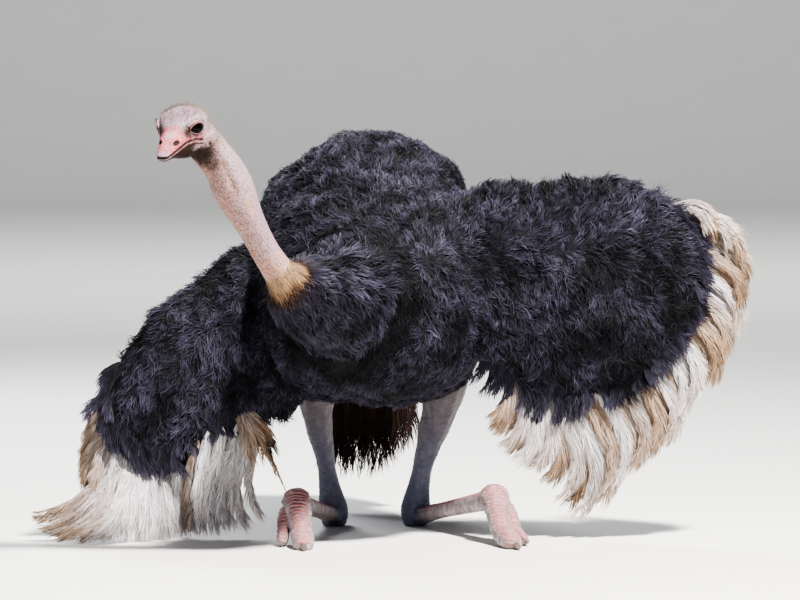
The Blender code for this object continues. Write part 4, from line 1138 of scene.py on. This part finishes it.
# Each wing: its fan's centre, the rim where the long plumes begin as (angle, radius), and the front
# plumes. Tints: 0 white, 0.3 cream, 0.6 tan, 0.85 brown, 1 black.
LEFT_WING = {
    "centre": inside("wing_left", 0.199, 0.3, 0.593),
    "lean": (-0.10, 0.06),
    "dome": 0.085,
    "edge": [(-40, 0.37), (-31, 0.420), (-19, 0.500), (-8, 0.540), (7, 0.544), (20, 0.525), (34, 0.495),
             (47, 0.472), (60, 0.405), (74, 0.370), (86, 0.320), (98, 0.270)],
    # how far black tongues reach past the rim, by angle
    "tongues": [(-40, 0.015), (-22, 0.022), (-12, 0.008), (40, 0.008), (56, 0.025), (64, 0.070),
                (68, 0.070), (72, 0.020), (79, 0.090), (84, 0.080), (88, 0.040), (94, 0.075),
                (101, 0.050)],
    # angle and radius of the tip, tint at the root and at the tip
    "plumes": [(-12, 0.575, 0.15, 0.35), (-8, 0.622, 0.10, 0.35), (-4, 0.648, 0.10, 0.60),
               (1, 0.664, 0.15, 0.75), (7, 0.660, 0.45, 0.70), (13, 0.664, 0.05, 0.40),
               (20, 0.648, 0.35, 0.55), (27, 0.642, 0.50, 0.70), (33, 0.626, 0.02, 0.30),
               (39, 0.618, 0.05, 0.25), (46, 0.650, 0.08, 0.45), (51, 0.645, 0.50, 0.55),
               (56, 0.648, 0.35, 0.50), (61, 0.662, 0.00, 0.10), (66.5, 0.685, 0.50, 0.45),
               (71.5, 0.706, 0.03, 0.30), (75, 0.655, 0.10, 0.35), (79, 0.565, 0.05, 0.35),
               (83.5, 0.530, 0.02, 0.22), (88, 0.490, 0.08, 0.40), (92, 0.425, 0.35, 0.60)],
}
TIP_BARBS_REACH = 0.040  # how far barbs pass the end of their shaft


def fan_normal(wing):
    return Vector((wing["lean"][0], -1.0, wing["lean"][1])).normalized()


def fan_point(wing, degrees, radius, side):
    angle = math.radians(degrees)
    x, z = side * math.cos(angle) * radius, -math.sin(angle) * radius
    flat = Vector(wing["centre"]) + Vector((x, wing["lean"][0] * x + wing["lean"][1] * z, z))
    return np.array(flat - fan_normal(wing) * wing["dome"] * (radius / 0.6) ** 2)


def rim_feathers(wing, side, count, rng):
    """Black feathers that hang in tongues over the roots of a wing's long plumes."""
    edge, tongues = (list(zip(*wing[name])) for name in ("edge", "tongues"))
    normal = np.array(fan_normal(wing))
    first, last = tongues[0][0], tongues[0][-1]
    pieces = []
    for k in range(count):
        angle = first + (last - first) * (k + rng.uniform(0.2, 0.8)) / count
        radius = np.interp(angle, *edge)
        past = np.interp(angle, *tongues) + rng.uniform(-0.022, 0.010)
        start = fan_point(wing, angle - 3, radius - 0.095, side) - normal * 0.016
        tip = fan_point(wing, angle + rng.uniform(-2, 5), radius + past - 0.026, side)
        tip = tip - normal * rng.uniform(0.0, 0.014)
        leave = fan_point(wing, angle, radius, side) + normal * 0.004 - start
        turned = math.radians(angle)
        along = np.array([-side * math.sin(turned), 0, -math.cos(turned)])
        arrive = unit(tip - start) + along * 0.6
        facing = unit(normal + rng.normal(0, 0.25, 3))
        tint = rng.uniform(0.05, 0.25)
        half_width = rng.uniform(0.012, 0.021)
        pieces.append(plume((start, leave, tip, arrive), facing, half_width, (tint, tint + 0.14), 130, rng))
    return pieces


def build_left_fan():
    rng = np.random.default_rng(61)
    wing = LEFT_WING
    edge = list(zip(*wing["edge"]))
    normal = np.array(fan_normal(wing))
    table = np.array(wing["plumes"], float)
    layers = ((0.0, 0.0, 0.0), (0.018, 0.012, 0.5), (0.032, 0.030, 0.25))
    for layer, (depth, shorter, offset) in enumerate(layers):
        pieces = []
        for i, (angle, radius, tint, tip_tint) in rows_between(table, offset):
            if layer:
                tint, tip_tint = table[int(i * 7 + layer) % len(table), 2:] * 0.8 + 0.1
            radius -= shorter + TIP_BARBS_REACH
            clockwise = np.array([-math.sin(math.radians(angle)), 0, -math.cos(math.radians(angle))])
            tip = fan_point(wing, angle, radius, 1) - normal * (depth + 0.006 * (int(i) % 2))
            tip = tip + rng.normal(0, 0.004, 3)
            root_angle = angle - 8 - 5 * ease(angle, -5.0, 10.0) + 6 * ease(angle, 45.0, 70.0)
            root_angle += rng.uniform(-1, 1)
            root_radius = np.interp(root_angle, *edge) - 0.10
            sunk = 0.090 * (1 - ease(angle, -10.0, 10.0))
            start = fan_point(wing, root_angle, root_radius, 1) - normal * (depth + 0.045 + sunk)
            leave = fan_point(wing, root_angle, root_radius + 0.1, 1) - normal * (0.020 + sunk) - start
            outward = unit(tip - fan_point(wing, angle, radius - 0.1, 1))
            hang = ease(angle, 45.0, 70.0)
            arrive = outward * (0.10 + 0.55 * hang) + clockwise * 1.0 + normal * 0.05
            facing = unit(normal - (0.45 - 0.2 * hang) * clockwise)
            shaft = (start, leave, tip, arrive)
            pieces.append(plume(shaft, facing, 0.0255, (tint, tip_tint), 430 - 45 * layer, rng))
        obj = plume_object(f"left_plumes_{layer + 1}", pieces, WHITE_FEATHER, "plumes_left")
        if layer == 0:
            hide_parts("plumes_left")
    rim = rim_feathers(wing, 1, 60, rng)
    plume_object("left_rim_feathers", rim, BLACK_FEATHER, "plumes_left")


RIGHT_WING = {
    "centre": inside("wing_right", 0.687, 0.3, 0.755),
    "lean": (0.28, 0.06),
    "dome": 0.070,
    "edge": [(4, 0.212), (16, 0.305), (24, 0.368), (32, 0.438), (44, 0.505), (55, 0.525), (65, 0.510),
             (70, 0.475), (74, 0.385), (82, 0.362), (88, 0.358), (100, 0.335), (114, 0.335)],
    "tongues": [(30, 0.0), (38, 0.010), (46, 0.010), (52, -0.012), (62, -0.008), (69, 0.006), (82, 0.004),
                (98, 0.012)],
    # angle at the root, tip from the fan's centre, sideways pull at the tip, tints at the root and the tip
    # the share of a full plume's width, and how far the root lies behind the wing's face
    "plumes": [(34, -0.372, -0.01, -0.400, 0.1, 0.40, 0.60, 0.75, 0.055),
               (38, -0.392, -0.02, -0.445, 0.0, 0.40, 0.60, 0.75, 0.055),
               (42, -0.400, -0.03, -0.480, 0.0, 0.35, 0.55, 0.75, 0.055),
               (45, -0.372, -0.05, -0.515, 0.0, 0.25, 0.50, 0.75, 0.055),
               (47, -0.455, -0.08, -0.570, -2.5, 0.05, 0.40, 0.60, 0.055),
               (48.5, -0.560, -0.08, -0.552, -7.0, 0.10, 0.58, 0.50, 0.055),
               (50, -0.540, -0.10, -0.590, -6.0, 0.03, 0.55, 0.52, 0.055),
               (51.5, -0.495, -0.12, -0.608, -5.0, 0.02, 0.55, 0.60, 0.055),
               (53, -0.440, -0.14, -0.612, -3.5, 0.00, 0.45, 0.72, 0.055),
               (54.5, -0.390, -0.15, -0.612, -1.5, 0.00, 0.20, 0.85, 0.055),
               (56, -0.345, -0.14, -0.612, -0.5, 0.00, 0.08, 1.0, 0.055),
               (58, -0.290, -0.11, -0.612, -0.2, 0.00, 0.05, 1.0, 0.055),
               (61, -0.240, -0.07, -0.612, -0.1, 0.00, 0.05, 1.0, 0.055),
               (65, -0.195, -0.03, -0.612, 0.0, 0.00, 0.08, 1.0, 0.055),
               (69, -0.160, 0.02, -0.610, 0.0, 0.05, 0.10, 0.9, 0.045),
               (73, -0.134, 0.01, -0.608, -0.05, 0.40, 0.52, 0.80, 0.010),
               (77, -0.098, -0.02, -0.608, 0.2, 0.00, 0.04, 0.75, 0.000),
               (83, -0.062, -0.02, -0.612, 0.3, 0.00, 0.06, 0.80, 0.000),
               (90, -0.020, -0.01, -0.600, 0.5, 0.00, 0.06, 0.80, 0.004),
               (97, 0.026, 0.00, -0.606, 0.7, 0.00, 0.10, 0.75, 0.010),
               (104, 0.064, 0.02, -0.580, 0.8, 0.02, 0.20, 0.65, 0.015)],
}


def build_right_fan():
    rng = np.random.default_rng(62)
    wing = RIGHT_WING
    edge = list(zip(*wing["edge"]))
    normal = np.array(fan_normal(wing))
    table = np.array(wing["plumes"], float)
    for layer, (depth, offset) in enumerate(((0.0, 0.0), (0.020, 0.5), (0.036, 0.25))):
        pieces = []
        for _, (root_angle, x, y, z, pull, tint, tip_tint, wide, sunk) in rows_between(table, offset):
            radius = np.interp(root_angle, *edge) - 0.09 * ease(sunk, -0.02, 0.03)
            start = fan_point(wing, root_angle, radius, -1) - normal * (depth + sunk)
            leave = fan_point(wing, root_angle, radius + 0.1, -1) - normal * (0.55 * sunk) - start
            leave = unit(leave) * np.array([0.35, 1, 1]) + np.array([0, 0, -0.9])
            arrive = unit(np.array([pull, 0, -1.0]))
            tip = wing["centre"] + (x, y, z) - arrive * TIP_BARBS_REACH * (0.6 + 0.4 * abs(arrive[0]))
            tip = tip - normal * depth * 0.5
            tip += rng.normal(0, 0.004, 3) - normal * 0.035 * (1 - ease(root_angle, 38.0, 46.0))
            tip[2] = max(tip[2], 0.014)
            facing = unit(normal * 0.8 + np.array([0, 0, 0.25]) * abs(arrive[0]))
            pieces.append(plume((start, leave, tip, arrive), facing, 0.027 * wide, (tint, tip_tint),
                                int((400 - 25 * layer) * (0.4 + 0.6 * wide)), rng, 0.06))
        obj = plume_object(f"right_plumes_{layer + 1}", pieces, WHITE_FEATHER, "plumes_right")
        if layer == 0:
            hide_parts("plumes_right")
    rim = rim_feathers(wing, -1, 42, rng)
    plume_object("right_rim_feathers", rim, BLACK_FEATHER, "plumes_right")


# The small dark-edged plumes at the right wing's inner end: tip from the fan's centre, half width, tints.
ALULA = [(0.082, -0.02, -0.380, 0.022, 0.40, 1.0), (0.062, -0.03, -0.395, 0.022, 0.38, 0.66),
         (0.030, -0.03, -0.408, 0.019, 0.38, 0.52), (0.096, -0.02, -0.452, 0.008, 0.50, 0.60),
         (0.118, -0.02, -0.495, 0.004, 0.50, 0.60), (0.082, 0.00, -0.365, 0.013, 1.0, 1.0)]


def build_alula():
    rng = np.random.default_rng(64)
    normal = np.array(fan_normal(RIGHT_WING))
    centre = RIGHT_WING["centre"]
    pieces = []
    for x, y, z, half_width, tint, tip_tint in ALULA:
        start = centre + (-0.035, 0.03, -0.265)
        shaft = (start, (0.75, -0.3, -0.35), centre + (x, y, z), (0.45, 0, -1.0))
        pieces.append(plume(shaft, normal, half_width, (tint, tip_tint), 190, rng, 0.1))
    plume_object("alula_plumes", pieces, WHITE_FEATHER, "plumes_right")


# ---------------------------------------------------------------- tail
TAIL_PLUMES = 18  # in each layer
TAIL_COVERS = 32


def build_tail():
    rng = np.random.default_rng(63)
    low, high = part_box("tail")
    size = high - low
    pieces = []
    for layer, back in enumerate((0.0, 0.03, 0.055)):
        for i in range(TAIL_PLUMES):
            across = (i + 0.5) / TAIL_PLUMES + rng.uniform(-0.02, 0.02)
            root = (low.x + size.x * (0.25 + 0.5 * across), high.y - 0.13 + back, high.z - 0.07)
            drop = 0.075 * ease(across, 0.55, 1.0) + rng.uniform(-0.01, 0.02)
            tier = (-0.008, 0.020, 0.120)[layer] + (rng.uniform(-0.015, 0.02) if layer else 0)
            tip = (low.x + size.x * (0.05 + 0.90 * across), high.y - 0.05 + back * 0.6,
                   low.z + 0.04 + drop + tier)
            shaft = (root, ((across - 0.5) * 0.8, 0.9, -0.35), tip,
                     ((across - 0.5) * 0.3 + rng.normal(0, 0.10), 0.25 * layer - 0.15, -1))
            facing = (rng.normal(0, 0.2), -1 if layer == 0 else 1, 0.2)
            tint = rng.uniform(0.0, 0.35) + 0.12 * layer
            pieces.append(plume(shaft, facing, 0.031, (tint, tint + 0.25 + 0.1 * layer),
                                (290, 150, 150)[layer], rng, 0.05))
    obj = plume_object("tail_plumes", pieces, BROWN_FEATHER, "tail")
    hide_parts("tail")
    pieces = []
    for _ in range(TAIL_COVERS):
        across = rng.uniform(0.0, 1.0)
        root = (low.x + size.x * (0.12 + 0.76 * across), high.y - 0.20 + rng.uniform(0, 0.03),
                high.z - 0.02 + rng.uniform(-0.02, 0.03))
        tip = (low.x + size.x * across, high.y - rng.uniform(-0.010, 0.015), high.z - rng.uniform(0.10, 0.24))
        shaft = (root, ((across - 0.5) * 0.6, 1.0, 0.25), tip, ((across - 0.5) * 0.3, 0.05, -1))
        tint = rng.uniform(0.10, 0.30)
        pieces.append(plume(shaft, (rng.normal(0, 0.2), 1, 0.3), 0.022, (tint, tint + 0.10), 120, rng, 0.05))
    plume_object("tail_cover_feathers", pieces, BLACK_FEATHER, "tail")


# ---------------------------------------------------------------- collar, down and bristles
BAND_UP = 0.036  # how far up the neck from the collar's middle its buff band starts
COLLAR_SPREAD = 0.092  # from the collar's middle to where its brown has faded to black


def collar_on_neck(count, rng):
    """Places round the neck's foot: how far below the collar, roots, ways outward and ways down."""
    centres, radii = neck_line(120)
    lengths = np.concatenate([[0], np.cumsum(np.linalg.norm(np.diff(centres, axis=0), axis=1))])
    lengths -= lengths[distance(centres, COLLAR).argmin()]
    down = rng.uniform(-BAND_UP, 0.055, count)
    ahead, here = (np.stack([np.interp(down + step, lengths, centres[:, k]) for k in range(3)], axis=1)
                   for step in (0.004, 0.0))
    tangent = unit(ahead - here)
    first = unit(np.cross(tangent, np.array([0, 1, 0])))
    turn = rng.uniform(0, 2 * math.pi, count)[:, None]
    outward = first * np.cos(turn) + np.cross(tangent, first) * np.sin(turn)
    return down, here + outward * (np.interp(down, lengths, radii) * 0.975)[:, None], outward, tangent


def build_collar(points, quads):
    """Buff band round the foot of the bare neck; its hair lies over the neck's root, brown and then black."""
    rng = np.random.default_rng(71)
    close = distance(points[quads].mean(axis=1), COLLAR) < COLLAR_SPREAD
    on_body, body_normals = scatter(points, quads[close], 4600, rng)
    down, on_neck, outward, tangent = collar_on_neck(8000, rng)
    upper = ease(outward @ np.array([0.6, 0.0, 0.8]), 0.1, 0.9)
    fall = ease(down + 0.008 * upper, -BAND_UP, 0.0)
    lower = ease(outward @ np.array([-0.5, -0.3, -0.8]), 0.2, 0.9)
    neck_ways = unit(tangent * (1 - 0.3 * upper)[:, None] + outward * (0.70 * fall * upper)[:, None]
                     + np.array([0.15, 0, -0.25]) * (fall * (1 + lower))[:, None]
                     + rng.normal(0, 0.10, (len(down), 3)))
    neck_length = (0.011 + 0.019 * fall) * (1 + 0.6 * fall * upper + 0.5 * fall * lower)
    buff = 1 - ease(down - 0.010 * upper - 0.006 * lower, -0.014, 0.012)
    brown = 1 - ease(down, 0.022, 0.055)
    far = distance(on_body, COLLAR)
    body_ways = unit(unit(on_body - COLLAR) + np.array([0.15, 0, -0.25]) + rng.normal(0, 0.12, (len(far), 3)))
    body_brown = 1 - ease(far + 0.006 * wobble(on_body, 0.02, 53), COLLAR_RADIUS * 0.9, COLLAR_SPREAD * 0.95)
    roots = np.concatenate([on_body, on_neck])
    normals = np.concatenate([body_normals, outward])
    ways = along_skin(np.concatenate([body_ways, neck_ways]), normals, 0.9)
    total = len(roots)
    length = np.concatenate([np.full(len(far), 0.024), neck_length]) * rng.uniform(0.6, 1.4, total)
    lift = np.concatenate([np.full(len(far), 0.5), 0.20 + 0.65 * fall]) * rng.uniform(0.7, 1.3, total)
    tints = np.concatenate([0.40 * body_brown, 0.36 * brown + 0.56 * buff])
    tints = np.clip(tints + rng.normal(0, 0.06, total) - 0.20 * rng.random(total) ** 2, 0, 1)
    line = lie_down(roots, ways, normals, length, lift, lift * 0.6, rng.normal(0, 0.20, total), 3)
    ribbons = ribbon_points(line, np.cross(ways, normals), rng.uniform(0.0008, 0.0016, total))
    fading = tints[:, None] * (1 - 0.30 * along_ribbon(3))[None]
    places = np.stack([turn_share(roots[:, 2] - COLLAR[2], roots[:, 0] - COLLAR[0]),
                       np.clip(distance(roots, COLLAR) / 0.1, 0, 1)], axis=1) * 0.96 + 0.02
    coat_object("collar_fringe", ribbons, rng.random(total), fading, places, COLLAR_HAIR, 3)


def build_head_hair(points, quads):
    """Short down on the neck, and bristles on the crown, throat and cheeks."""
    rng = np.random.default_rng(72)
    roots, normals = scatter(points, quads, 30000, rng)
    local = to_head(roots)
    forward, _, up = local.T
    marks = np.maximum(head_marks(roots), neck_marks(roots))
    from_eyes = np.min([distance(local, eye_axes(side)[0]) for side in SIDES.values()], axis=0)
    crown = ease(up, 0.008, 0.030) * (1 - ease(forward, 0.020, 0.045)) * ease(forward, -0.09, -0.05)
    nape = ease(-forward, 0.015, 0.040) * ease(up, -0.12, -0.03) * (1 - crown)
    throat = ease(-up, 0.042, 0.056) * ease(forward, -0.030, 0.0) * (1 - ease(forward, 0.08, 0.11)) * (
        1 - ease(-up, 0.10, 0.13))
    cheek = blob(local, (-0.022, 0.058, -0.045), (0.026, 0.03, 0.022))
    neck = ease(-up, 0.07, 0.10) * (1 - ease(forward, -0.01, 0.02))
    bare = ease(forward, 0.030, 0.055) * (1 - throat)
    density = np.clip(0.15 + 0.45 * crown + 0.9 * throat + 0.6 * cheek + 0.55 * neck + 0.4 * nape, 0, 1)
    density *= 1 - bare
    keep = (rng.random(len(roots)) < density) & (from_eyes > 0.027)
    roots, normals, crown, throat, cheek, neck, nape, marks = (
        v[keep] for v in (roots, normals, crown, throat, cheek, neck, nape, marks))
    count = len(roots)
    down_neck = unit(COLLAR - roots)
    back = np.broadcast_to(-HEAD_AXES[0], roots.shape)
    ways = unit(back * (1 - neck)[:, None] + down_neck * neck[:, None] + rng.normal(0, 0.35, (count, 3)))
    ways = along_skin(ways, normals)
    length = 0.0028 + 0.0055 * crown + 0.0030 * throat + 0.002 * cheek + 0.0010 * neck + 0.0035 * nape
    length *= rng.uniform(0.5, 1.5, count)
    lift = 0.35 + 1.1 * crown + 0.4 * throat + 0.25 * neck * rng.random(count) + 0.6 * nape
    line = lie_down(roots, ways, normals, length, lift, lift * 0.3, rng.normal(0, 0.35, count), 2)
    width = rng.uniform(0.00035, 0.0006, count) * (1 + 0.8 * throat)
    ribbons = ribbon_points(line, np.cross(ways, normals), width)
    # Hairs are darker where the skin's dark mask is, and so carry its painted shade too.
    light = np.clip(0.80 - 0.48 * crown - 0.62 * throat - 0.40 * cheek - 0.35 * nape - 0.5 * marks[:, 1]
                    - 0.25 * marks[:, 3] * neck + rng.normal(0, 0.14, count), 0, 1)
    here = to_head(roots)
    places = np.stack([turn_share(here[:, 2], here[:, 1]),
                       np.clip((here[:, 0] - here[:, 2] + 0.12) / 0.75, 0, 1)], axis=1) * 0.98 + 0.01
    coat_object("head_and_neck_hairs", ribbons, rng.random(count), light, places, HAIR, 2)


LASHES_PER_EYE = 80


def build_lashes():
    rng = np.random.default_rng(73)
    lines, sides = [], []
    for side in SIDES.values():
        centre, facing, front, up = eye_axes(side)
        for _ in range(LASHES_PER_EYE):
            turn = rng.uniform(math.radians(15), math.radians(178))
            angle = math.radians(opening_angle(turn) + rng.uniform(-0.5, 2.5))
            way = facing * math.cos(angle) + (front * math.cos(turn) + up * math.sin(turn)) * math.sin(angle)
            root = centre + way * LID_RADIUS
            out = unit(way * 0.55 + facing * 0.8 - front * 0.20 + up * 0.25)
            length = rng.uniform(0.007, 0.013)
            share = np.linspace(0, 1, 3)[:, None]
            lines.append(root + out * length * share + up * length * 0.35 * share ** 2)
            sides.append(unit(np.cross(out, up)))
    line = from_head(np.array(lines).reshape(-1, 3)).reshape(-1, 3, 3)
    across = np.array(sides) @ HEAD_AXES
    count = len(line)
    ribbons = ribbon_points(line, across, np.full(count, 0.0009))
    places = np.stack([np.linspace(0.1, 0.9, count), np.full(count, 0.5)], axis=1)
    coat_object("eyelashes", ribbons, rng.random(count), np.zeros(count), places, HAIR, 2)


# ---------------------------------------------------------------- eyes
def build_eyes():
    iris, tree, finish = new_material("eyeball", {
        "Roughness": 0.16, "Specular IOR Level": 0.10, "Coat Weight": 0.05, "Coat Roughness": 0.10})
    far = add_node(tree, "VectorMath", {0: object_place(tree), 1: (0, 0, EYE_RADIUS)}, operation="DISTANCE")
    rings = ramp(tree, computed(tree, "DIVIDE", far["Value"], EYE_RADIUS),
                 [(0.0, (0.002, 0.002, 0.002)), (0.40, (0.002, 0.002, 0.002)), (0.44, (0.011, 0.005, 0.003)),
                  (0.80, (0.007, 0.004, 0.003)), (0.86, (0.004, 0.003, 0.003)), (1.0, (0.02, 0.015, 0.015))])
    finish({"Base Color": rings})
    for name, side in SIDES.items():
        bm = bmesh.new()
        bmesh.ops.create_uvsphere(bm, u_segments=48, v_segments=32, radius=EYE_RADIUS)
        for vertex in bm.verts:
            vertex.co += vertex.co.normalized() * 0.0009 * float(ease(vertex.co.z / EYE_RADIUS, 0.72, 1.0))
        obj = object_from_bmesh("eyeball_" + name, bm, iris)
        centre, facing, _, _ = eye_axes(side)
        obj.location = Vector(from_head(centre))
        obj.rotation_euler = Vector(facing @ HEAD_AXES).to_track_quat("Z", "Y").to_euler()
        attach(obj, "root")
        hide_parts("eye_" + name)


# ---------------------------------------------------------------- the one skin
def build_skin():
    head, body = build_bare_head_and_neck(), build_body()
    legs = [build_leg_skin(side) for side in SIDES]
    bare = np.zeros((len(body[0]), 4))
    parts = [(*head, np.zeros(len(head[0])), 0), *[(*leg, 1) for leg in legs], (*body, bare, bare[:, 0], 2)]
    starts = np.cumsum([0] + [len(part[0]) for part in parts[:-1]])
    quads = np.concatenate([part[1] + start for part, start in zip(parts, starts)])
    mesh = fast_mesh("skin", np.concatenate([part[0] for part in parts]), quads)
    set_colour(mesh, "marks", np.concatenate([part[2] for part in parts]))
    lengthwise = np.concatenate([part[3] for part in parts]).astype(np.float32)
    mesh.attributes.new("lengthwise", "FLOAT", "POINT").data.foreach_set("value", lengthwise)
    materials = np.concatenate([np.full(len(part[1]), part[4], np.int32) for part in parts])
    mesh.polygons.foreach_set("material_index", materials)
    skin = add_object("skin", mesh, HEAD_SKIN, LEG_SKIN, UNDER_SKIN_SHADE)
    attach(skin, "root")
    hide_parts("head", "bill_upper", "bill_lower", "neck_upper", "neck_middle", "neck_lower",
                "neck_root", "trunk", "wing_left", "wing_right",
                *[f"{part}_{side}" for side in SIDES for part in LEG_PARTS])
    build_plumage(*body)
    build_collar(*body)
    build_head_hair(*head[:2])


# ---------------------------------------------------------------- floor, light and camera
def build_stage():
    """A floor that curves up into a wall well behind the bird."""
    floor = two_tone_material("pale floor", (0.74, 0.73, 0.71), (0.78, 0.77, 0.75), 0.85, 3.0)
    profile = [(-60.0, 0.0), (30.0, 0.0)]
    curve = np.linspace(0.1, math.pi / 2, 14)
    profile += [(30.0 + 5.0 * math.sin(a), 5.0 - 5.0 * math.cos(a)) for a in curve]
    profile.append((35.0, 16.0))
    bm = bmesh.new()
    rows = [[bm.verts.new((x, y, z)) for x in (-60.0, 60.0)] for y, z in profile]
    for near, far in zip(rows, rows[1:]):
        bm.faces.new((near[0], near[1], far[1], far[0]))
    object_from_bmesh("studio_floor", bm, floor)


def area_light(name, place, target, size, power, colour=(1, 1, 1)):
    lamp = bpy.data.lights.new(name, "AREA")
    lamp.size = size
    lamp.energy = power
    lamp.color = colour
    obj = add_object(name, lamp)
    obj.location = place
    obj.rotation_euler = (Vector(target) - Vector(place)).to_track_quat("-Z", "Y").to_euler()
    return obj


def build_light_and_camera():
    middle = (SOLID_BOX[0] + SOLID_BOX[1]) / 2
    area_light("key", (2.2, -3.1, 6.3), middle, 0.7, 1420, (1.0, 0.97, 0.93))
    area_light("fill", (-5.0, -6.0, 2.6), middle, 4.0, 55, (0.90, 0.95, 1.0))
    area_light("rim", (-2.0, 5.0, 4.5), middle, 2.5, 330, (0.95, 0.97, 1.0))
    backdrop = area_light("backdrop", (0.0, 12.0, 12.0), (0.0, 30.0, 0.0), 8.0, 1900)
    backdrop.visible_camera = False  # it faces views from behind
    world = bpy.data.worlds.new("soft room")
    world.use_nodes = True
    connect(world.node_tree, world.node_tree.nodes["Background"], {0: (0.88, 0.92, 1.0), 1: 0.21})
    bpy.context.scene.world = world
    bpy.context.scene.view_settings.look = "AgX - High Contrast"
    camera = bpy.data.cameras.new("camera")
    camera.lens = CAMERA_LENS
    camera.sensor_width = CAMERA_SENSOR
    camera.clip_end = 100
    obj = add_object("camera", camera)
    obj.location = EYES_MIDDLE + CAMERA_FROM_EYES
    obj.rotation_euler = (math.pi / 2 + CAMERA_PITCH, 0, 0)
    bpy.context.scene.camera = obj


def finish_claws():
    for name, node in NODES.items():
        if name.startswith("claw_"):
            for slot in node.material_slots:
                slot.material = CLAW_HORN


build_stage()
build_light_and_camera()
build_skin()
build_eyes()
build_lashes()
build_left_fan()
build_right_fan()
build_alula()
build_tail()
finish_claws()
